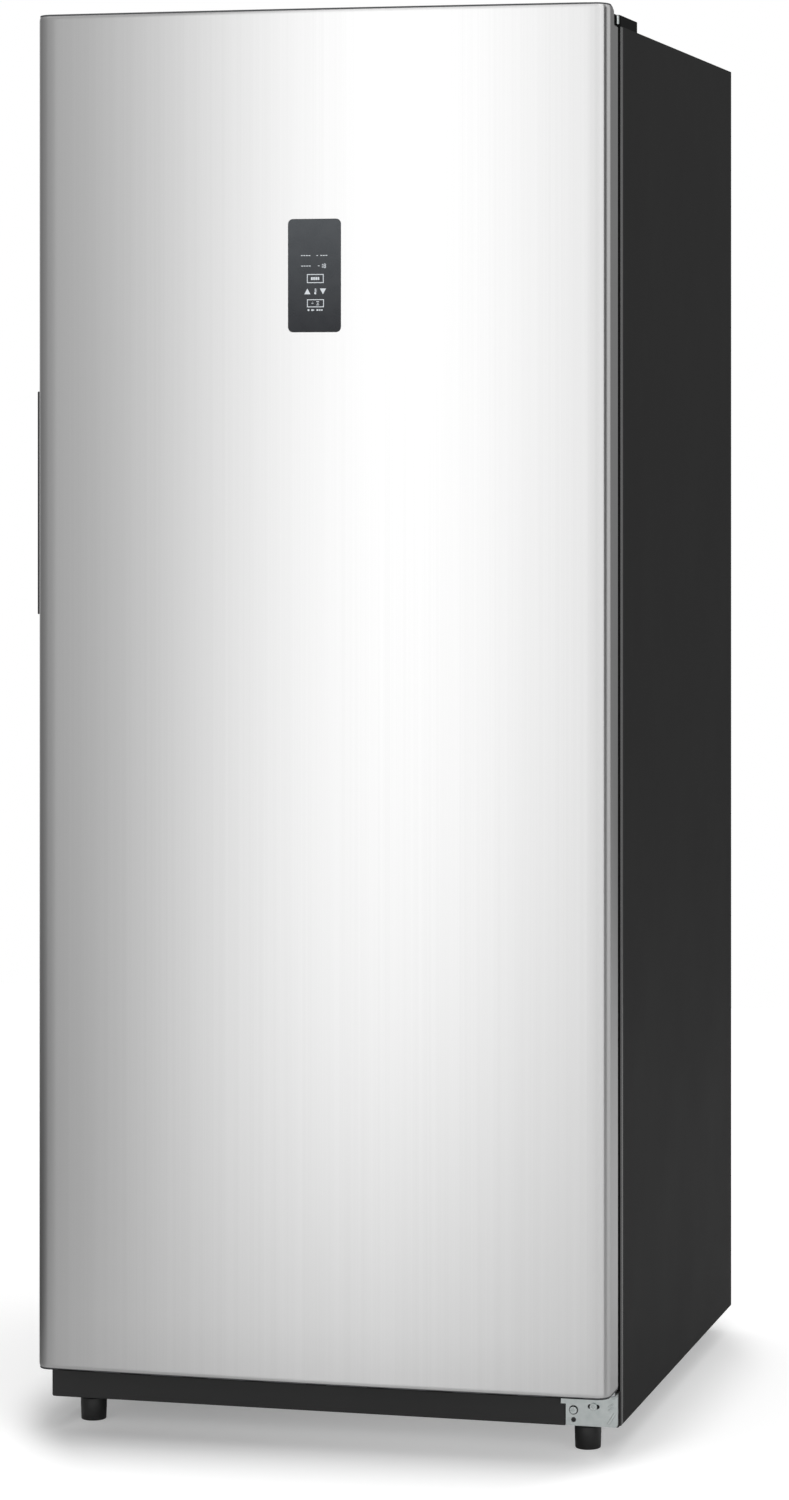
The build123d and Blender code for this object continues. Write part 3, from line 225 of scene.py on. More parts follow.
def calc(tree, operation, first, second=0.0):
    """The output of one sum on two values or outputs."""
    return add(tree, "ShaderNodeMath", {0: first, 1: second}, operation=operation).outputs[0]


# ---- materials ----
def brushed_stainless():
    """Stainless sheet brushed upright, which draws its highlights out into tall bands."""
    made, tree, shader = finish_of("brushed_stainless_sheet", "#CBCBCB", 0.30, Metallic=1.0,
                                   Anisotropic=1.0, Anisotropic_Rotation=0.25)
    # hairlines are 0.1 mm apart; drawn 1.4 mm apart so that they show from a room away
    lines = grain(tree, 1.4 * MM, 3.0, (1, 1, 900))
    wide = grain(tree, 11 * MM, 2.0, (1, 1, 200))
    both = calc(tree, "MULTIPLY", calc(tree, "ADD", lines, wide), 0.5)
    coloured(tree, shader, both, "#C8C8C8", "#CECECE")
    roughened(tree, shader, wide, 0.275, 0.285)
    tangent = add(tree, "ShaderNodeTangent", direction_type="RADIAL", axis="Z")
    tree.links.new(tangent.outputs["Tangent"], shader.inputs["Tangent"])
    return made


def dark_painted_steel(name="powder_coated_steel", gloss=0.08, roughness=0.60,
                       tones=("#1F1F1F", "#212121")):
    """Powder coat on sheet steel: fine orange peel, which kills its sheen where it is matt."""
    made, tree, shader = finish_of(name, tones[1], roughness, Specular_IOR_Level=gloss)
    cloud = grain(tree, 180 * MM, 3.0)
    coloured(tree, shader, cloud, *tones)
    roughened(tree, shader, cloud, roughness - 0.02, roughness + 0.02)
    bumped(tree, shader, grain(tree, 1.4 * MM, 2.0), 0.03 * MM, 0.5)
    return made


def galvanised_sheet():
    """Hot-dip zinc on steel: pale spangle that turns from grain to grain."""
    made, tree, shader = finish_of("galvanised_steel_sheet", "#ABADAE", 0.42, Metallic=1.0)
    place = add(tree, "ShaderNodeTexCoord").outputs["Object"]
    spangle = add(tree, "ShaderNodeTexVoronoi", {"Vector": place, "Scale": 1 / (7 * MM)})
    flake = add(tree, "ShaderNodeSeparateColor", {"Color": spangle.outputs["Color"]}).outputs["Red"]
    tree.links.new(tinted(tree, flake, "#A4A6A7", "#B3B5B6"), shader.inputs["Base Color"])
    tree.links.new(ranged(tree, flake, 0, 1, 0.40, 0.48), shader.inputs["Roughness"])
    return made


def zinc_plated_steel():
    """Bright zinc with a clear chromate: a slightly green silver with soft blotches."""
    made, tree, shader = finish_of("zinc_plated_steel", "#C7CDCC", 0.34, Metallic=1.0)
    blotch = grain(tree, 9 * MM, 4.0)
    coloured(tree, shader, blotch, "#C0C7C6", "#CED3D2")
    roughened(tree, shader, blotch, 0.30, 0.40)
    bumped(tree, shader, grain(tree, 0.9 * MM, 2.0), 0.02 * MM, 0.4)
    return made


def moulded_plastic(name, dark, light, roughness, pitch=1.2 * MM, depth=0.02 * MM, gloss=0.5):
    """Injection-moulded plastic with a spark-eroded grain that softens its gloss."""
    made, tree, shader = finish_of(name, light, roughness, Specular_IOR_Level=gloss)
    cloud = grain(tree, 60 * MM, 2.0)
    coloured(tree, shader, cloud, dark, light)
    roughened(tree, shader, cloud, roughness - 0.03, roughness + 0.05)
    bumped(tree, shader, grain(tree, pitch, 3.0), depth, 0.5)
    return made


def clear_plastic():
    """Clear polystyrene: see-through with a faint blue edge and a soft gloss."""
    made, tree, shader = finish_of("clear_polystyrene", "#F3F9FB", 0.07, IOR=1.5,
                                   Transmission_Weight=0.93)
    wave = grain(tree, 40 * MM, 1.0)
    roughened(tree, shader, wave, 0.05, 0.10)
    bumped(tree, shader, wave, 0.1 * MM, 0.2)
    return made


def toughened_glass(name="toughened_glass", tint="#DCEFE8"):
    """Float glass: clear, with the green of its iron where it is seen edge on."""
    made, tree, shader = finish_of(name, tint, 0.02, IOR=1.52, Transmission_Weight=0.92)
    roughened(tree, shader, grain(tree, 70 * MM, 3.0), 0.01, 0.05)
    return made


def display_overlay():
    """Slate-tinted polycarbonate film with a matt hard coat over the controls."""
    made, tree, shader = finish_of("tinted_polycarbonate_film", "#2A2E33", 0.24, IOR=1.58,
                                   Specular_IOR_Level=0.22)
    # painted shading: the film's colour runs from dark at its bottom to lighter at its top, as the light falls on
    # it
    place = add(tree, "ShaderNodeTexCoord").outputs["Generated"]
    height = add(tree, "ShaderNodeSeparateXYZ", {"Vector": place}).outputs["Z"]
    tree.links.new(tinted(tree, height, "#14181F", "#474B4F"), shader.inputs["Base Color"])
    roughened(tree, shader, grain(tree, 14 * MM, 2.0), 0.22, 0.30)
    return made


def printed_legend():
    """White screen print behind the film, with a faint even glow as painted light, and a little uneven in its ink.
    """
    made, tree, shader = finish_of("white_screen_print", "#C9CED3", 0.5, Emission_Strength=0.2,
                                   Emission_Color=linear("#DDE2E6"))
    coloured(tree, shader, grain(tree, 0.8 * MM, 2.0), "#B9BFC5", "#D5D9DD")
    return made


def seal_rubber(name, dark, light):
    """Soft extruded vinyl: dull, with a faint drag line along it."""
    made, tree, shader = finish_of(name, light, 0.62)
    drag = grain(tree, 2.5 * MM, 3.0)
    coloured(tree, shader, drag, dark, light)
    bumped(tree, shader, drag, 0.05 * MM, 0.5)
    return made


def copper_tube():
    """Drawn copper a little browned by its brazing."""
    made, tree, shader = finish_of("drawn_copper", "#C58563", 0.3, Metallic=1.0)
    stain = grain(tree, 24 * MM, 4.0)
    coloured(tree, shader, stain, "#8A5238", "#CF9070")
    roughened(tree, shader, stain, 0.24, 0.42)
    return made


def aluminium_fins():
    """Mill-finish aluminium fin stock, lightly streaked by the rolls."""
    made, tree, shader = finish_of("mill_finish_aluminium", "#C9CBCC", 0.36, Metallic=1.0)
    roll = grain(tree, 2 * MM, 3.0, (1, 1, 40))
    coloured(tree, shader, roll, "#B6B8BA", "#D6D8D9")
    roughened(tree, shader, roll, 0.30, 0.44)
    return made


def black_painted_steel():
    """Stoved gloss black on a pressed shell, with the orange peel of a dipped coat."""
    made, tree, shader = finish_of("stoved_black_enamel", "#131313", 0.22)
    peel = grain(tree, 5 * MM, 2.0)
    roughened(tree, shader, peel, 0.18, 0.28)
    bumped(tree, shader, peel, 0.08 * MM, 0.5)
    return made


def insulating_foam():
    """Rigid foam: cream, dull and pitted where its cells are cut."""
    made, tree, shader = finish_of("rigid_polyurethane_foam", "#E3D6A6", 0.9)
    cells = grain(tree, 2 * MM, 4.0)
    coloured(tree, shader, cells, "#CDBE88", "#EDE2B8")
    bumped(tree, shader, cells, 0.4 * MM, 0.7)
    return made


def frosted_lamp_plastic():
    """Opal acrylic over the lamp, evenly lit from inside."""
    made, tree, shader = finish_of("opal_acrylic", "#F3F6FA", 0.35, Transmission_Weight=0.3,
                                   Emission_Color=linear("#F4F8FF"), Emission_Strength=0.9)
    bumped(tree, shader, grain(tree, 3 * MM, 2.0), 0.05 * MM, 0.4)
    return made


FINISHES = {
    "brushed_stainless": brushed_stainless(),
    "dark_painted_steel": dark_painted_steel(),
    "galvanised_sheet": galvanised_sheet(),
    "zinc_plated_steel": zinc_plated_steel(),
    "black_moulded_plastic": moulded_plastic("black_polypropylene", "#181818", "#1D1D1D", 0.46),
    "grey_moulded_plastic": moulded_plastic("grey_abs", "#3F4042", "#47484A", 0.48),
    "white_liner_plastic": moulded_plastic(
        "vacuum_formed_hips", "#E9EBEC", "#ECEEEF", 0.38, 3 * MM, 0.01 * MM),
    "white_moulded_plastic": moulded_plastic("white_abs", "#DDE0E2", "#E7EAEC", 0.36),
    "insulating_foam": insulating_foam(),
    "clear_plastic": clear_plastic(),
    "toughened_glass": toughened_glass(),
    "display_overlay": display_overlay(),
    "grey_seal_rubber": seal_rubber("grey_vinyl_seal", "#2E3031", "#393B3C"),
    "black_rubber": seal_rubber("black_rubber", "#141414", "#1C1C1C"),
    "copper_tube": copper_tube(),
    "aluminium_fins": aluminium_fins(),
    "black_painted_steel": black_painted_steel(),
    "heater_glass": toughened_glass("heater_quartz", "#E6E6E2"),
    "frosted_lamp_plastic": frosted_lamp_plastic(),
}
legend_print = printed_legend()
# where the side bends into its front flange the coat is thin, smooth and glossy; its lighter colour there is a
# painted highlight
bend_paint_with_painted_highlight = dark_painted_steel("powder_coat_with_painted_bend_highlight", 0.9, 0.22, ("#3A3A3A", "#3E3E3E"))
# painted shade: a near-black finish for plastics and paint that lie in deep shade, darker than their own colour
painted_shade_black = moulded_plastic("near_black_asa_painted_shade", "#060606", "#090909", 0.7, gloss=0.08)


def dress(obj, slot):
    """Gives a piece the finish of one of the record's slots."""
    obj.data.materials.clear()
    obj.data.materials.append(FINISHES[slot])
    return obj


# ---- mesh helpers ----
def new_object(name, verts, faces):
    """A mesh object in the scene, with its faces as they are given."""
    mesh = bpy.data.meshes.new(name)
    mesh.from_pydata([tuple(v) for v in verts], [], faces)
    obj = bpy.data.objects.new(name, mesh)
    bpy.context.scene.collection.objects.link(obj)
    return obj


def loose_mesh(name, verts, faces):
    """An object with outward faces, not yet a piece of the freezer."""
    obj = new_object(name, verts, faces)
    shape = bmesh.new()
    shape.from_mesh(obj.data)
    bmesh.ops.recalc_face_normals(shape, faces=shape.faces)
    shape.to_mesh(obj.data)
    shape.free()
    return obj


def applied(obj):
    """Replaces a piece's mesh by what its modifiers make of it."""
    graph = bpy.context.evaluated_depsgraph_get()
    made = bpy.data.meshes.new_from_object(obj.evaluated_get(graph))
    obj.modifiers.clear()
    obj.data = made
    return obj


def combined(obj, others, operation="DIFFERENCE"):
    """Cuts the others out of a piece, or adds them to it, and removes them."""
    for other in others:
        step = obj.modifiers.new("step", "BOOLEAN")
        step.operation = operation
        step.solver = "EXACT"
        step.object = other
    applied(obj)
    for other in others:
        bpy.data.objects.remove(other)
    return obj


def bevelled(obj, width, segments=3, over=35):
    """Rounds every edge sharper than that many degrees."""
    edge = obj.modifiers.new("edge", "BEVEL")
    edge.width = width
    edge.segments = segments
    edge.limit_method = "ANGLE"
    edge.angle_limit = radians(over)
    edge.harden_normals = True
    return applied(obj)


def sheet(name, rows, wall):
    """A sheet through rows of points, which gets its thickness inward."""
    n = len(rows[0])
    corners = [r * n + i for r in range(len(rows) - 1) for i in range(n - 1)]
    faces = [[a, a + 1, a + n + 1, a + n] for a in corners]
    obj = new_object(name, [point for row in rows for point in row], faces)
    skin = obj.modifiers.new("wall", "SOLIDIFY")
    skin.thickness = wall
    skin.offset = -1
    return applied(obj)


def soften(obj, below=30):
    """Smooth shading that keeps edges of more than that many degrees sharp."""
    obj.data.shade_smooth()
    obj.data.set_sharp_from_angle(angle=radians(below))


def evened(obj):
    """Keeps the shading of a bevelled piece's flat faces flat."""
    even = obj.modifiers.new("even", "WEIGHTED_NORMAL")
    even.keep_sharp = True
    return applied(obj)


def piece(obj, slot, body, *stands_for, below=30, flat=False):
    """Finishes a mesh as a piece of the freezer that rides on a body."""
    dress(obj, slot)
    soften(obj, below)
    if flat:
        evened(obj)
    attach(obj, body)
    if stands_for:
        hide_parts(*stands_for)
    return obj


def prisms(name, plans, low, high, place=Matrix.Identity(4)):
    """Solids over plans from low to high, in one mesh moved by place."""
    verts, faces = [], []
    for points in plans:
        n, first = len(points), len(verts)
        verts += [place @ Vector((x, y, z)) for z in (low, high) for x, y in points]
        ring = list(range(first, first + n))
        faces += [[a, b, b + n, a + n] for a, b in zip(ring, ring[1:] + ring[:1])]
        faces += [ring[::-1], [a + n for a in ring]]
    return loose_mesh(name, verts, faces)


def prism(name, points, low, high, place=Matrix.Identity(4)):
    return prisms(name, [points], low, high, place)


def brick(name, x, y, z):
    """A box between three (low, high) pairs, for cutting and joining."""
    outline = ((x[0], y[0]), (x[1], y[0]), (x[1], y[1]), (x[0], y[1]))
    return prism(name, outline, *z)


def arc(x, y, radius, start, sweep=90.0, steps=6):
    """Points of an arc round (x, y), from start degrees on."""
    turns = (radians(start + sweep * i / steps) for i in range(steps + 1))
    return [(x + radius * cos(a), y + radius * sin(a)) for a in turns]


def circle(radius, x=0.0, y=0.0, steps=32):
    return arc(x, y, radius, 0, 360, steps)[:-1]


def rounded(width, height, radius, steps=8):
    """Points of a rounded rectangle round the origin."""
    a, b = width / 2 - radius, height / 2 - radius
    corners = ((a, b, 0), (-a, b, 90), (-a, -b, 180), (a, -b, 270))
    return [point for x, y, start in corners for point in arc(x, y, radius, start, 90, steps)]


def turned(name, profile, x, y, steps=48):
    """A solid of revolution about an upright axis from (radius, z) points, closed at both ends."""
    verts = [(px, py, z) for radius, z in profile for px, py in circle(radius, x, y, steps)]
    faces = []
    for first in range(0, len(verts) - steps, steps):
        ring = list(range(first, first + steps))
        faces += [[a, b, b + steps, a + steps] for a, b in zip(ring, ring[1:] + ring[:1])]
    faces += [list(range(steps))[::-1], list(range(len(verts) - steps, len(verts)))]
    return loose_mesh(name, verts, faces)


# plans drawn in (x, z) with their depth along +Y, and in (y, z) with it along +X
FRONTAL = Matrix(((1, 0, 0), (0, 0, 1), (0, 1, 0))).to_4x4()
SIDEWAYS = Matrix(((0, 0, 1), (1, 0, 0), (0, 1, 0))).to_4x4()


def facing(x, z):
    """Takes a plan in (x, z) round the origin to that place."""
    return Matrix.Translation((x, 0, z)) @ FRONTAL


def sideways(y, z):
    """Takes a plan in (y, z) round the origin to that place."""
    return Matrix.Translation((0, y, z)) @ SIDEWAYS


display_place = facing((panel_lo.x + panel_hi.x) / 2, (panel_lo.z + panel_hi.z) / 2)


# ---- door ----
def door_plan(hem=6, rounding=14, crown=60):
    """The door's outline from its back left edge round the front: points and outward normals."""
    half = (x_right - x_left) / 2
    big = (half**2 + door_crown**2) / (2 * door_crown)
    middle_y = y_face + big
    corner_y = middle_y - sqrt((big - door_corner) ** 2 - (half - door_corner) ** 2)
    tilt = atan2(half - door_corner, middle_y - corner_y)
    hem_in, hem_along = door_hem
    line = []
    for i in range(hem + 1):
        turn = radians(90) * i / hem
        x, y = x_left + hem_in * (1 - sin(turn)), y_door - hem_along * (1 - cos(turn))
        line.append((x, y, -1.0, 0.0))
    line.append((x_left, (y_door + corner_y) / 2, -1.0, 0.0))
    edge = len(line) + rounding + 1
    for i in range(rounding + 1):
        turn = radians(90) + (tilt - radians(90)) * i / rounding
        nx, ny = -sin(turn), -cos(turn)
        line.append((x_left + door_corner + door_corner * nx, corner_y + door_corner * ny, nx, ny))
    for i in range(1, crown):
        turn = -tilt + 2 * tilt * i / crown
        line.append((x_mid + big * sin(turn), middle_y - big * cos(turn), sin(turn), -cos(turn)))
    mirror = [(2 * x_mid - x, y, -nx, ny) for x, y, nx, ny in line[:edge]]
    return line + mirror[::-1]


def wrapped(name, rows, wall):
    """A sheet that follows the door's outline through rows of (z, inset, drop at its sides)."""
    plan = door_plan()
    return sheet(name, [
        [(x - nx * inset, min(y - ny * inset, y_door), z - drop * nx * nx) for x, y, nx, ny in plan]
        for z, inset, drop in rows
    ], wall)


def door_steel(levels=24, bend=6):
    """The stainless skin between the two end trims, wrapped round the door's upright edges."""
    low, high = door_lo.z + trim_rise, door_hi.z - trim_crown - trim_rise
    roll = [(skin_roll * (1 - i / bend), skin_roll_depth * (i / bend) ** 2) for i in range(bend + 1)]
    rows = [(low + z, inset, 0.0) for z, inset in roll[::-1]]
    rows += [(low + (high - low) * i / levels, 0.0, 0.0) for i in range(1, levels)]
    rows += [(high - z, inset, side_drop) for z, inset in roll]
    skin = wrapped("door_steel", rows, skin_sheet)
    combined(skin, [display_hole(), grip_hole(), hinge_notch(notch_line)])
    piece(skin, "brushed_stainless", "door", "door_skin", below=24)


def door_end_trim(name, edge, way, crown, cutters, bend=6):
    """A dark plastic rim round the door's end, which closes the skin's raw edge."""
    drop = side_drop if way > 0 else 0.0
    inset = skin_roll_depth - trim_edge / 2
    front = edge - way * crown
    rows = [(front - way * trim_rise, inset, drop)]
    for i in range(bend + 1):
        turn = radians(90) * i / bend
        rise = front - way * trim_edge * (1 - sin(turn))
        rows.append((rise, inset + trim_edge * (1 - cos(turn)), drop))
    rows.append((edge - way * 0.3 * crown, skin_return, 0.0))
    rim = wrapped(name, rows[::way], skin_sheet)
    combined(rim, cutters)
    return piece(rim, "grey_moulded_plastic", "door", below=24)


def door_cap():
    """The moulded cap in the door's upper end, which shows round the hinge notch."""
    plan = [(x - nx * cap_inset, min(y - ny * cap_inset, y_door - skin_sheet))
            for x, y, nx, ny in door_plan()]
    low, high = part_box("door_top_cap")[0].z, door_hi.z - trim_crown - trim_edge
    cap = prism("door_cap", plan, low, high)
    bush = prism("bush", circle(bush_radius, hinge_x, hinge_y), low - 1 * MM, high + 1 * MM)
    combined(cap, [hinge_notch(0.0), bush])
    piece(cap, "grey_moulded_plastic", "door", "door_top_cap")


def display_outline(gap=0.0, steps=8):
    """The display overlay's outline, grown by a gap."""
    wide, tall = panel_hi.x - panel_lo.x, panel_hi.z - panel_lo.z
    return rounded(wide + 2 * gap, tall + 2 * gap, panel_corner + gap, steps)


def display_hole():
    """The hole in the skin that the display overlay sits in."""
    return prism("display_hole", display_outline(panel_gap), y_face - 5 * MM, y_face + 9 * MM,
                 display_place)


def grip_hole():
    """The hole in the skin's left side for the finger pocket."""
    lo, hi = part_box("grip_insert")
    return brick("grip_hole", (x_left - 20 * MM, x_left + 3 * MM),
                 (lo.y + grip_lip, hi.y - grip_wall), (lo.z + grip_wall, hi.z - grip_wall))


def grip():
    """The moulded finger pocket in the door's side: a rounded frame, a lip and a cup."""
    lo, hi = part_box("grip_insert")
    y, z = (lo.y + hi.y) / 2, (lo.z + hi.z) / 2
    wide, tall = hi.y - lo.y, hi.z - lo.z
    cup_wide = wide - grip_lip - 2 * grip_edge
    cup_place = sideways(lo.y + grip_lip + grip_edge + cup_wide / 2, z)
    corner, cup_corner, lip_corner = 4 * MM, 5 * MM, 1.8 * MM
    shell = prism("grip_pocket", rounded(wide, tall, corner), x_left - grip_face, x_left,
                  sideways(y, z))
    cup = prism("cup", rounded(cup_wide + 2 * grip_edge, tall - 4 * grip_edge, cup_corner),
                x_left - 0.5 * grip_face, x_left + grip_pocket, cup_place)
    lip = prism("lip", rounded(grip_lip, tall - 1 * MM, lip_corner), x_left - grip_proud, x_left,
                sideways(lo.y + grip_lip / 2, z))
    combined(shell, [cup, lip], "UNION")
    space = prism("space", rounded(cup_wide, tall - 8 * grip_edge, corner), x_left - 10 * MM,
                  x_left + grip_pocket - grip_edge, cup_place)
    combined(shell, [space])
    bevelled(shell, 0.7 * MM)
    piece(shell, "black_moulded_plastic", "door", "grip_insert", flat=True)


def hinge_notch(grow, steps=14):
    """The door's upper rear corner, open for the hinge arm, with a long rounding before it."""
    front = y_door - notch_depth - grow
    floor_z = case_top - notch_drop - grow
    behind, top = y_door + 10 * MM, door_hi.z + 10 * MM
    run, fall = notch_round
    crest = door_hi.z - trim_crown - grow
    side = [(behind, floor_z), (behind, top), (front - run, top)]
    for i in range(steps + 1):
        turn = radians(90 * i / steps)
        side.append((front - run + run * sin(turn), crest - fall + fall * cos(turn)))
    side += [(front, floor_z + notch_ease), (front + notch_ease, floor_z)]
    return prism("hinge_notch", side, hinge_x - notch_side - grow, x_right + 10 * MM, SIDEWAYS)


def bush_hole():
    """Room in the door's lower end for the flange of the lower bush."""
    z = (door_lo.z - 5 * MM, door_lo.z + 5 * MM)
    return prism("bush_hole", circle(bush_flange, hinge_x, hinge_y), *z)


def display_overlay_piece():
    """The dark control overlay in the door's front, with softly rounded edges."""
    overlay = prism("display_overlay", display_outline(steps=12), panel_lo.y, panel_hi.y, display_place)
    bevelled(overlay, 0.35 * MM)
    piece(overlay, "display_overlay", "door", "display_panel", flat=True)


def bar_shape(x, z, width, height):
    """A printed bar's outline round (x, z)."""
    a, b = width / 2, height / 2
    return [(x - a, z - b), (x + a, z - b), (x + a, z + b), (x - a, z + b)]


def bar_row(x, z, pitch, count, width, height):
    """Printed bars side by side from (x, z) on."""
    return [bar_shape(x + pitch * i, z, width, height) for i in range(count)]


def frame_shapes(x, z, width, height, line):
    """Four bars that make a printed frame."""
    a, b, upright = (width - line) / 2, (height - line) / 2, height - 2 * line
    return [bar_shape(x, z + b, width, line), bar_shape(x, z - b, width, line),
            bar_shape(x - a, z, line, upright), bar_shape(x + a, z, line, upright)]


def numeral_shapes(x, z, figure, width=2.9, height=5.2, line=0.75):
    """A figure built from the seven bars of a plain numeric display."""
    across, up = width - line, height / 2
    bars = {
        "top": (x, z + up - line / 2, across, line),
        "middle": (x, z, across, line),
        "bottom": (x, z - up + line / 2, across, line),
        "left_up": (x - across / 2, z + up / 2, line, up - line),
        "left_down": (x - across / 2, z - up / 2, line, up - line),
        "right_up": (x + across / 2, z + up / 2, line, up - line),
        "right_down": (x + across / 2, z - up / 2, line, up - line),
    }
    lit = {"-": ("middle",), "1": ("right_up", "right_down"), "8": tuple(bars)}
    return [bar_shape(*bars[name]) for name in lit[figure]]


def legend_shapes():
    """Every printed mark on the overlay as outlines in millimetres from its middle."""
    line = 0.95
    # two rows of short dashes, where each key's use is marked, and the set temperature
    marks = bar_row(-15.6, 23.7, 3.1, 4, 2.3, line) + bar_row(-15.2, 11.3, 3.1, 4, 2.3, line)
    marks += [bar_shape(3.3, 23.7, 1.8, line)] + bar_row(8.4, 23.7, 3.1, 3, 2.4, line)
    for x, figure in ((5.2, "-"), (8.6, "1"), (12.6, "8")):
        marks += numeral_shapes(x, 11.4, figure)
    # a framed key with a row of bars, and one with a bolt and lines beside it
    marks += frame_shapes(1.0, -3.6, 20.6, 10.6, line) + bar_row(-3.25, -3.6, 2.7, 4, 2.1, 3.4)
    marks += frame_shapes(1.2, -32.9, 20.8, 9.4, line)
    marks += [[(-3.6, -32.6), (-1.0, -32.6), (-2.6, -36.0), (-1.4, -33.4), (-3.9, -33.4),
               (-2.0, -30.0)]]
    marks += [bar_shape(4.0, z, width, 0.8) for z, width in ((-31.0, 3.4), (-32.9, 2.0), (-34.8, 3.4))]
    # warmer and colder, with a thermometer between them
    marks += [[(-12.6, -22.2), (-5.0, -22.2), (-8.8, -15.4)]]
    marks += [[(14.2, -15.4), (6.6, -15.4), (10.4, -22.2)]]
    marks += [bar_shape(0.9, -17.6, 1.0, 4.6), circle(1.35, 0.9, -21.0, 16)]
    marks += [bar_shape(2.5, -16.2 - 1.5 * i, 1.0, 0.5) for i in range(3)]
    # tell-tale lamps
    lamps = -40.9
    for radius, x, steps in ((1.25, -7.4, 16), (1.15, -3.0, 16), (0.8, -1.2, 12)):
        marks.append(circle(radius, x, lamps, steps))
    for x, width, height in ((3.6, 2.4, 1.9), (6.4, 2.0, 1.6), (9.0, 2.0, 1.5)):
        marks.append(bar_shape(x, lamps, width, height))
    return marks


def display_legends():
    """The overlay's printed marks, in a film of ink on its front."""
    ink = 0.05 * MM
    outlines = [[(x * MM, z * MM) for x, z in outline] for outline in legend_shapes()]
    legends = prisms("display_legends", outlines, panel_lo.y - ink, panel_lo.y, display_place)
    piece(legends, "display_overlay", "door")
    legends.data.materials[0] = legend_print


# ---- case ----
def case_sides(levels=12):
    """The painted sides, chamfered into their front flanges, which carry painted shade; the bend's shading fades
    behind, over a strip of painted highlight.
    """
    low, high = case_low, case_top - case_sheet
    bend = ((case_flange, 0.0), (case_bend, 0.0), (0.0, case_bend), (0.0, case_roll),
            (0.0, y_back - y_case))
    heights = [low + (high - low) * i / levels for i in range(levels + 1)]
    for side, x, way in (("left", x_left, 1), ("right", x_right, -1)):
        plan = [(x + way * inward, y_case + behind) for inward, behind in bend][::-way]
        rows = [[(*point, z) for point in plan] for z in heights]
        obj = sheet(f"case_side_{side}", rows, case_sheet)
        piece(obj, "dark_painted_steel", "cabinet", f"side_panel_{side}", below=50)
        obj.data.materials.append(bend_paint_with_painted_highlight)
        obj.data.materials.append(painted_shade_black)
        # painted shade on the faces that look forward (the flange in the shadowed gap behind the door), which get
        # the near-black finish; painted highlight on the bend's strip, which gets the lighter paint
        for face in obj.data.polygons:
            if face.normal.y < -SQUARE_ON:
                face.material_index = 2
            elif face.center.y < y_case + case_roll:
                face.material_index = 1


# ---- front hardware ----
def kick_plate():
    """The moulded plate under the door, cut back where the hinge bracket sits."""
    lo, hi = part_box("kick_plate")
    turn, past = 2.5 * MM, 5 * MM
    outline = [(lo.x, hi.z), (hi.x, hi.z)]
    outline += arc(hi.x - turn, lo.z + turn, turn, 0, -90)
    outline += arc(lo.x + turn, lo.z + turn, turn, -90, -90)
    plate = prism("kick_plate_shell", outline, lo.y, hi.y, FRONTAL)
    bay = (lo.y - past, lo.y + bracket_thick)
    plate_left = bracket_lo.x + bracket_tab
    combined(plate, [
        brick("bracket_bay", (plate_left - 1 * MM, hi.x + past), bay, (0, hi.z + past)),
        brick("tab_bay", (bracket_lo.x - 1 * MM, plate_left + 1 * MM), bay, tab_z),
        brick("kick_hollow", (lo.x + kick_wall, bracket_lo.x - 3 * MM), (lo.y + kick_wall, hi.y + past),
              (lo.z - past, hi.z - kick_wall)),
    ])
    bevelled(plate, 0.5 * MM, 2)
    piece(plate, "black_moulded_plastic", "cabinet", "kick_plate", flat=True)
    # painted shade: its ends, which lie in shade, get the near-black finish
    plate.data.materials.append(painted_shade_black)
    for face in plate.data.polygons:
        face.material_index = int(abs(face.normal.x) > SQUARE_ON)


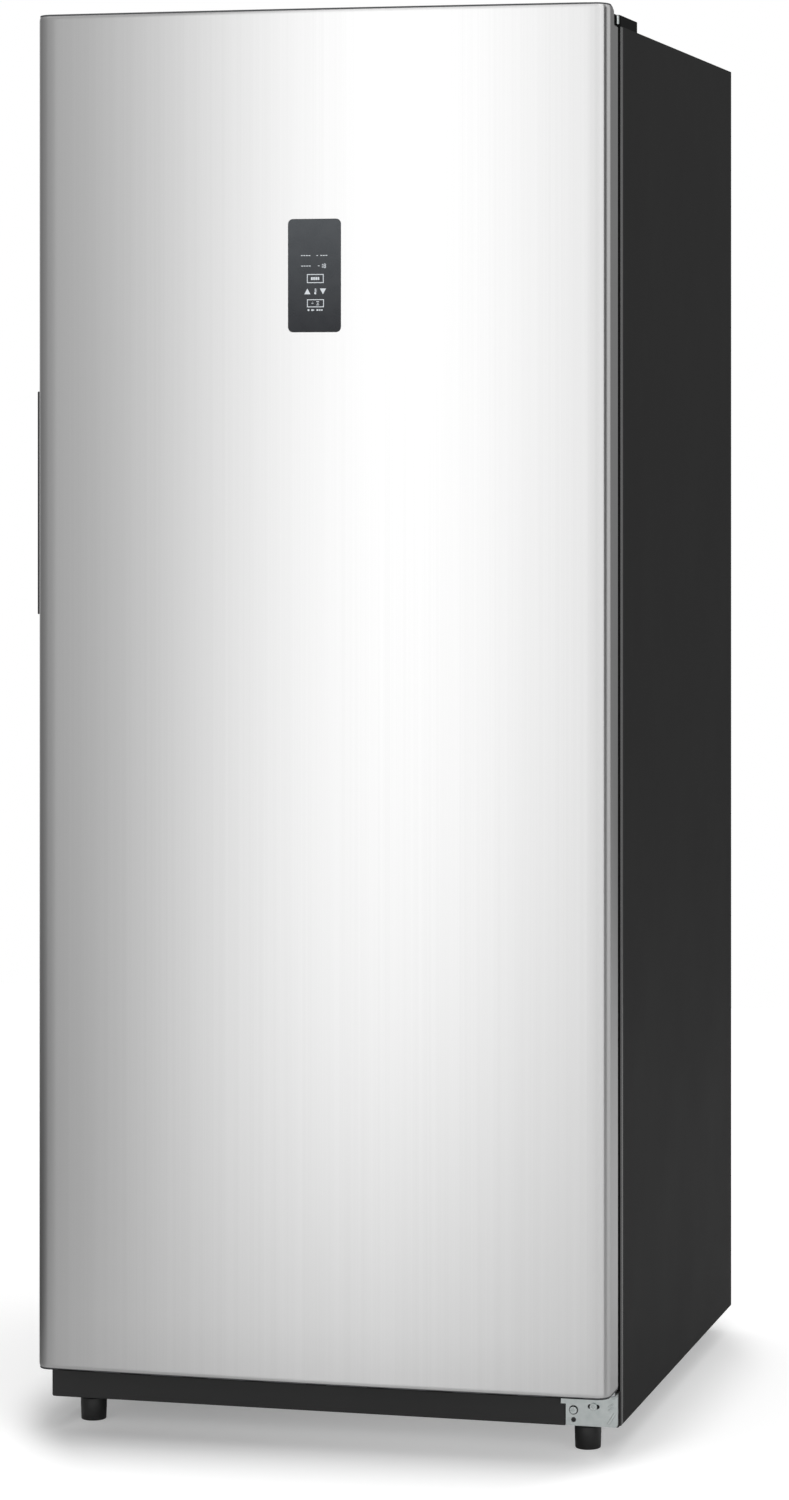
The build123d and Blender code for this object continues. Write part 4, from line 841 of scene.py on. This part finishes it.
def lower_bracket():
    """The thick zinc-plated angle that carries the door, with its arm, tab, holes and ribs."""
    front, back = y_door, bracket_hi.y
    plate_left = bracket_lo.x + bracket_tab
    turn, nose = 4 * MM, 9 * MM
    outline = [(plate_left, bracket_hi.z), (plate_left, bracket_lo.z)]
    outline += arc(bracket_hi.x - turn, bracket_lo.z + turn, turn, -90)
    outline.append((bracket_hi.x, bracket_hi.z))
    plate = prism("lower_bracket", outline, front, back, FRONTAL)
    arm_z = (bracket_hi.z - bracket_thick, bracket_hi.z)
    arm_left, nose_y = hinge_x - 30 * MM, bracket_lo.y + nose
    arm_plan = [(arm_left, back), (arm_left, nose_y)]
    arm_plan += arc(arm_left + nose, nose_y, nose, 180, 90, 8)
    arm_plan += arc(bracket_hi.x - nose, nose_y, nose, 270, 90, 8)
    arm_plan.append((bracket_hi.x, back))
    arm = prism("arm", arm_plan, *arm_z)
    tab = brick("tab", (bracket_lo.x, plate_left + 1 * MM), (front, back), tab_z)
    combined(plate, [arm, tab], "UNION")
    screw_x, screw_z = plate_left + bracket_screw[0], case_low + bracket_screw[1]
    far = facing(plate_left + bracket_far_screw[0], case_low + bracket_far_screw[1])
    through = (front - 5 * MM, back + 5 * MM)
    combined(plate, [
        prism("spare", circle(spare_hole, screw_x, case_low + spare_hole_z), *through, FRONTAL),
        prism("seat_1", circle(screw_hole, screw_x, screw_z), *through, FRONTAL),
        prism("seat_2", rounded(*bracket_slot, screw_hole), *through, far),
        prism("pin_seat", circle(pin_hole, hinge_x, hinge_y), arm_z[0] - 1 * MM, arm_z[1] + 1 * MM),
    ])
    bevelled(plate, 0.45 * MM)
    piece(plate, "zinc_plated_steel", "cabinet", "lower_hinge_bracket", flat=True)
    # painted shade: a thin black disc under the first screw's head stands in for the dark ring of shadow round it
    shade_ring = prism("bracket_screw_painted_shade_ring", circle(shade_ring_radius, screw_x, screw_z),
                   front - shade_ring_thick, front, FRONTAL)
    bore = prism("bore", circle(screw_hole, screw_x, screw_z), front - 5 * MM, back, FRONTAL)
    combined(shade_ring, [bore])
    piece(shade_ring, "black_rubber", "cabinet")
    # ribs pressed into the plate's outer end, in millimetres from its right edge and from the
    # case's lower edge: a long one that leans outward and two short ones
    for name, x, z, lean, width, height in (
        ("bracket_rib", 7.5, 10.5, 32, 3.4, 17), ("bracket_rib_1", 8.5, 26.5, 58, 1.9, 7.5),
        ("bracket_rib_2", 8.5, 22.3, 58, 1.9, 7.5),
    ):
        slope = Matrix.Translation((bracket_hi.x - x * MM, 0, case_low + z * MM))
        slope = slope @ Matrix.Rotation(radians(lean), 4, "Y") @ FRONTAL
        rib = prism(name, rounded(width * MM, height * MM, 0.47 * width * MM), front - 0.9 * MM,
                    front + 0.5 * MM, slope)
        bevelled(rib, 0.25 * width * MM)
        piece(rib, "zinc_plated_steel", "cabinet", flat=True)


def hinge_knuckle():
    """The top hinge's zinc-plated post, which shows in the gap beside its cover, and its collar."""
    x, y = x_right - post_inset, (y_door + y_case) / 2 + post_shift
    low, high = (case_top + rise for rise in post_rise)
    profile = [(post_radius, low), (post_radius, high - 0.6 * MM),
               (post_radius - 0.2 * MM, high - 0.2 * MM), (post_radius - 0.7 * MM, high)]
    piece(turned("hinge_knuckle", profile, x, y, 24), "zinc_plated_steel", "cabinet")
    profile = [(collar_radius, case_top), (collar_radius, low - 0.3 * MM),
               (collar_radius - 0.4 * MM, low)]
    collar = turned("hinge_collar", profile, x, y, 24)
    piece(collar, "black_moulded_plastic", "cabinet")
    # painted shade: the collar, in the shaded gap beside the hinge cover, gets the near-black finish
    collar.data.materials[0] = painted_shade_black


def slot_field(side, way, base, start, end, low, rows, count):
    """Cutters for rows of upright slots through the machine room's cover, as one mesh."""
    wide, tall = slot_size
    left, right = side + way * start, side + way * end
    pitch = (right - left - wide) / (count - 1)
    slot = rounded(wide, tall, 2.5 * MM, 3)
    middles = [(left + i * pitch + wide / 2, base + low + row * slot_rows + tall / 2)
               for row in range(rows) for i in range(count)]
    return prisms("slots", [[(x + a, z + b) for a, b in slot] for x, z in middles],
                  y_back - 8 * MM, y_back + 4 * MM, FRONTAL)


def machine_cover():
    """The pressed sheet over the machine room: a raised border, cooling slots and its screws."""
    lo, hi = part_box("machine_cover")
    inlet_lo, inlet_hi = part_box("power_inlet")
    middle, wide, tall = (lo + hi) / 2, hi.x - lo.x, hi.z - lo.z
    place = facing(middle.x, middle.z)
    back = y_back - cover_inset + cover_sheet
    sheet_plan = rounded(wide, tall, 3 * MM)
    border_plan = rounded(wide - 6 * MM, tall - 6 * MM, 5 * MM)
    field_plan = rounded(wide - 2 * cover_margin, tall - 2 * cover_margin, 8 * MM)
    cover = prism("machine_room_cover", sheet_plan, y_back - cover_inset, back, place)
    border = prism("border", border_plan, back - 0.2 * MM, back + cover_border, place)
    combined(cover, [border], "UNION")
    opening = rounded(inlet_hi.x - inlet_lo.x + 0.6 * MM, inlet_hi.z - inlet_lo.z + 0.6 * MM, 1.5 * MM)
    inlet = (inlet_lo + inlet_hi) / 2
    combined(cover, [
        prism("field", field_plan, back, back + 5 * MM, place),
        prism("hole", opening, y_back - 8 * MM, y_back + 4 * MM, facing(inlet.x, inlet.z)),
        slot_field(lo.x, 1, lo.z, *slots_left), slot_field(hi.x, -1, lo.z, *slots_right),
    ])
    bevelled(cover, 0.3 * MM, 2)
    piece(cover, "galvanised_sheet", "cabinet", "machine_cover", flat=True)
    side, edge = 12 * MM, 14 * MM       # the screws' distance from the cover's edges
    levels = (lo.z + edge, middle.z, hi.z - edge)
    spots = [(x, z) for x in (lo.x + side, hi.x - side) for z in levels]
    spots += [(middle.x, levels[0]), (middle.x, levels[2])]
    for i, (x, z) in enumerate(spots):
        # each was left at another turn by the driver
        spot = Matrix.Translation((x, 0, z)) @ Matrix.Rotation(radians(37 * i), 4, "Y") @ FRONTAL
        head = prism(f"machine_cover_screw_{i}", circle(screw_head, steps=24), back, y_back, spot)
        combined(head, [
            prism(f"slot_{k}", rounded(*size, 0.3 * MM, 2), y_back - 0.7 * MM, y_back + 2 * MM, spot)
            for k, size in enumerate((screw_cross, screw_cross[::-1]))
        ])
        bevelled(head, 0.2 * MM, 2, over=50)
        piece(head, "zinc_plated_steel", "cabinet", flat=True)


def rails():
    """Pale trims along the rims of the door's bins and on the drawer's pull."""
    sunk, (shorter, height) = 0.2 * MM, bin_rail
    fronts = []
    for i in range(1, 5):
        lo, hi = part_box(f"door_bin_{i}")
        size, depth = (hi.x - lo.x - shorter, height), (hi.y - sunk, hi.y + rail_thick)
        fronts.append((f"bin_rail_{i}", lo, hi, size, depth, "door"))
    lo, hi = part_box("freezer_drawer")
    depth = (lo.y - rail_thick, lo.y + sunk)
    fronts.append(("drawer_rail", lo, hi, drawer_rail, depth, "drawer"))
    for name, lo, hi, size, depth, body in fronts:
        rail = prism(name, rounded(*size, 4 * MM), *depth, facing((lo.x + hi.x) / 2, hi.z - rail_drop))
        bevelled(rail, 0.6 * MM)
        piece(rail, "white_moulded_plastic", body, flat=True)


def feet():
    """Moulded foot pads: a little narrower at the floor, with two nicks for a wrench."""
    for side in ("left", "right"):
        lo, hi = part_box(f"foot_{side}")
        x, y = (lo.x + hi.x) / 2, (lo.y + hi.y) / 2
        wide = (hi.x - lo.x) / 2
        base = wide - 0.7 * MM
        profile = [(base - 1.3 * MM, 0.0), (base - 0.6 * MM, 0.2 * MM), (base - 0.2 * MM, 0.6 * MM),
                   (base, 1.2 * MM), (wide - 0.1 * MM, 16 * MM), (wide, foot_pad - 1.4 * MM),
                   (wide - 0.4 * MM, foot_pad - 0.4 * MM), (wide - 1.2 * MM, foot_pad),
                   (foot_stem, foot_pad), (foot_stem, hi.z)]
        foot = turned(f"foot_pad_{side}", profile, x, y)
        inner, outer, half = wide - nick_depth, wide + 3 * MM, 2 * MM
        nick = [(inner, -half), (outer, -half), (outer, half), (inner, half)]
        middle = Matrix.Translation((x, y, 0))
        combined(foot, [
            prism(f"nick_{i}", nick, *nick_z, middle @ Matrix.Rotation(radians(angle), 4, "Z"))
            for i, angle in enumerate((12, 192))
        ])
        piece(foot, "black_moulded_plastic", f"foot_{side}", f"foot_{side}")


door_steel()
door_cap()
door_end_trim("door_top_trim", door_hi.z, 1, trim_crown, [hinge_notch(0.0)])
lower_trim = door_end_trim("door_bottom_trim", door_lo.z, -1, 0.0, [bush_hole()])
# painted shade: the bottom trim gets the near-black finish so that it reads as the shadow under the door
lower_trim.data.materials[0] = painted_shade_black
grip()
display_overlay_piece()
display_legends()
case_sides()
kick_plate()
lower_bracket()
hinge_knuckle()
machine_cover()
rails()
feet()

# ---- finishes of the CAD nodes that show ----
for part in frame["record"]["subparts"]:
    dress(nodes[part["node"]], part["material_slot"])
# painted shade: the hinge cover and its plate get the near-black finish, darker than the other black plastic, for
# the light that misses them
for name in ("hinge_cover", "upper_hinge_plate"):
    nodes[name].data.materials[0] = painted_shade_black


# ---- stage, light and camera ----
FLOOR_GLOW = 0.52           # the sweep's own light, for the camera only
FLOOR_NARROW = 1.9          # its shade beside the object is this much narrower than in front
# the painted shadow round the freezer: the product of these is the share of the glow that is lost:
# a measure of the place, the two values in millimetres between which the factor changes, and the
# factor at both. Outward and corner count from the object's outline, x from its middle.
FLOOR_PAINTED_SHADOW = (
    ("outward", -90, 20, 0.52, 0.96), ("outward", -60, 210, 1.0, 0.0),
    ("corner", -100, 90, 1.0, 0.0), ("x", -380, 200, 1.0, 0.62),
)
# how bright the studio is round the object, by degrees from straight in front of the
# door towards the hinge side
STUDIO = (
    (-180, 0.22), (-168, 0.30), (-156, 0.80), (-136, 0.80), (-118, 0.26), (-80, 0.32),
    (-50, 0.40), (-26, 0.47), (-23.4, 0.52), (-21.8, 0.92), (-19.5, 1.66), (-17, 2.22),
    (-14, 2.46), (-12, 1.95), (-10, 1.50), (-4, 1.42), (50, 1.46), (65, 1.40), (70, 0.05),
    (92, 0.04), (100, 0.62), (112, 0.80), (126, 0.80), (142, 0.72), (157, 0.25), (180, 0.22),
)
STUDIO_TOP = 0.62           # the level straight overhead
STUDIO_RISE = (0.35, 0.85)  # it takes over between heights of these sines
STUDIO_LOW = 0.80           # share of the level that is left under the horizon
STUDIO_FALL = (-0.19, -0.03)          # and the sines between which it grows to 1


def floor():
    """A white sweep round the freezer, which looks grey to the steel's lower half."""
    x, y = (-3.4, 3.4), (-1.7, 3.4)
    corners = ((x[0], y[0]), (x[1], y[0]), (x[1], y[1]), (x[0], y[1]))
    obj = loose_mesh("floor", [(*corner, 0) for corner in corners], [(0, 1, 2, 3)])
    made, tree, shader = finish_of("white_paper_sweep", "#C4C4C4", 0.9, Specular_IOR_Level=0.0,
                                   Emission_Color=linear("#FFFFFF"))
    path = add(tree, "ShaderNodeLightPath").outputs
    place = add(tree, "ShaderNodeTexCoord").outputs["Object"]
    spot = add(tree, "ShaderNodeSeparateXYZ", {"Vector": place}).outputs
    # the steel sees a darker room beyond the grip's side of the sweep
    room = ranged(tree, spot["X"], -850 * MM, -330 * MM, curve="SMOOTHSTEP")
    white = calc(tree, "MAXIMUM", path["Is Camera Ray"], room)
    tone = add(tree, "ShaderNodeMix", {"Factor": path["Is Diffuse Ray"]}, data_type="RGBA")
    tree.links.new(tinted(tree, white, "#4A4A4A", "#E7E7E7"), tone.inputs["A"])
    tone.inputs["B"].default_value = linear("#707070")
    tree.links.new(tone.outputs["Result"], shader.inputs["Base Color"])
    # painted shadow: the glow fades round and under the freezer, more to the grip's side, as its shadow does
    across = calc(tree, "SUBTRACT", calc(tree, "ABSOLUTE", spot["X"]), x_right)
    across = calc(tree, "MULTIPLY", across, FLOOR_NARROW)
    along = calc(tree, "SUBTRACT", calc(tree, "ABSOLUTE", spot["Y"]), -y_face)
    measures = {
        "outward": calc(tree, "MAXIMUM", across, along), "corner": calc(tree, "ADD", across, along),
        "x": spot["X"],
    }
    share = 1.0
    for measure, start, end, low, high in FLOOR_PAINTED_SHADOW:
        factor = ranged(tree, measures[measure], start * MM, end * MM, low, high, "SMOOTHSTEP")
        share = calc(tree, "MULTIPLY", share, factor)
    level = calc(tree, "MULTIPLY", calc(tree, "SUBTRACT", 1.0, share), FLOOR_GLOW)
    glow = calc(tree, "MULTIPLY", path["Is Camera Ray"], level)
    tree.links.new(glow, shader.inputs["Emission Strength"])
    obj.data.materials.append(made)


def studio():
    """A grey studio with bright panels, and a dark flag beside the hinge side."""
    world = bpy.data.worlds.new("studio")
    world.use_nodes = True
    bpy.context.scene.world = world
    tree = world.node_tree
    tree.nodes.clear()
    way = add(tree, "ShaderNodeTexCoord").outputs["Generated"]
    split = add(tree, "ShaderNodeSeparateXYZ", {"Vector": way}).outputs
    turn = calc(tree, "ARCTAN2", split["X"], calc(tree, "MULTIPLY", split["Y"], -1.0))
    ramp = add(tree, "ShaderNodeValToRGB", {"Fac": ranged(tree, turn, -pi, pi)})
    stops = ramp.color_ramp.elements
    for degrees, level in STUDIO[1:-1]:
        stops.new((degrees + 180) / 360)
    for stop, (degrees, level) in zip(stops, STUDIO):
        stop.position = (degrees + 180) / 360
        stop.color = (level, level, level, 1)
    top_share = ranged(tree, split["Z"], *STUDIO_RISE)
    lit = add(tree, "ShaderNodeMix", {"Factor": top_share}, data_type="RGBA")
    tree.links.new(ramp.outputs["Color"], lit.inputs["A"])
    lit.inputs["B"].default_value = (STUDIO_TOP, STUDIO_TOP, STUDIO_TOP, 1)
    fade = ranged(tree, split["Z"], *STUDIO_FALL, STUDIO_LOW)
    room = add(tree, "ShaderNodeBackground", {"Color": lit.outputs["Result"], "Strength": fade})
    paper = add(tree, "ShaderNodeBackground", {"Color": (1, 1, 1, 1), "Strength": 1.0})
    seen = add(tree, "ShaderNodeLightPath").outputs["Is Camera Ray"]
    both = add(tree, "ShaderNodeMixShader", {0: seen, 1: room.outputs[0], 2: paper.outputs[0]})
    add(tree, "ShaderNodeOutputWorld", {"Surface": both.outputs[0]})


def softbox(name, place, aim, size, power):
    """An area light at place that looks at aim."""
    light = bpy.data.lights.new(name, "AREA")
    light.shape = "RECTANGLE"
    light.size, light.size_y = size
    light.energy = power
    obj = bpy.data.objects.new(name, light)
    obj.location = place
    obj.rotation_euler = (Vector(aim) - Vector(place)).to_track_quat("-Z", "Y").to_euler()
    bpy.context.scene.collection.objects.link(obj)


def camera():
    """The photograph's view: level, from the hinge side, with its frame shifted down."""
    focal, width, height = 4240.0, 789, 1500        # in pixels
    axis_x, axis_y = 520.0, 411.0                   # where the level axis meets the frame
    data = bpy.data.cameras.new("camera")
    data.sensor_width = 36.0
    data.lens = focal / height * data.sensor_width
    data.shift_x = (width / 2 - axis_x) / height
    data.shift_y = (axis_y - height / 2) / height
    obj = bpy.data.objects.new("camera", data)
    obj.location = (1.4165, -5.2125, 1.234)
    obj.rotation_euler = (radians(90), 0, radians(13.58))
    bpy.context.scene.collection.objects.link(obj)
    bpy.context.scene.camera = obj


floor()
studio()
softbox("overhead", (0.9, -0.3, 4.2), (0, 0, 0), (4.0, 4.0), 40)
camera()
bpy.context.scene.view_settings.view_transform = "Standard"
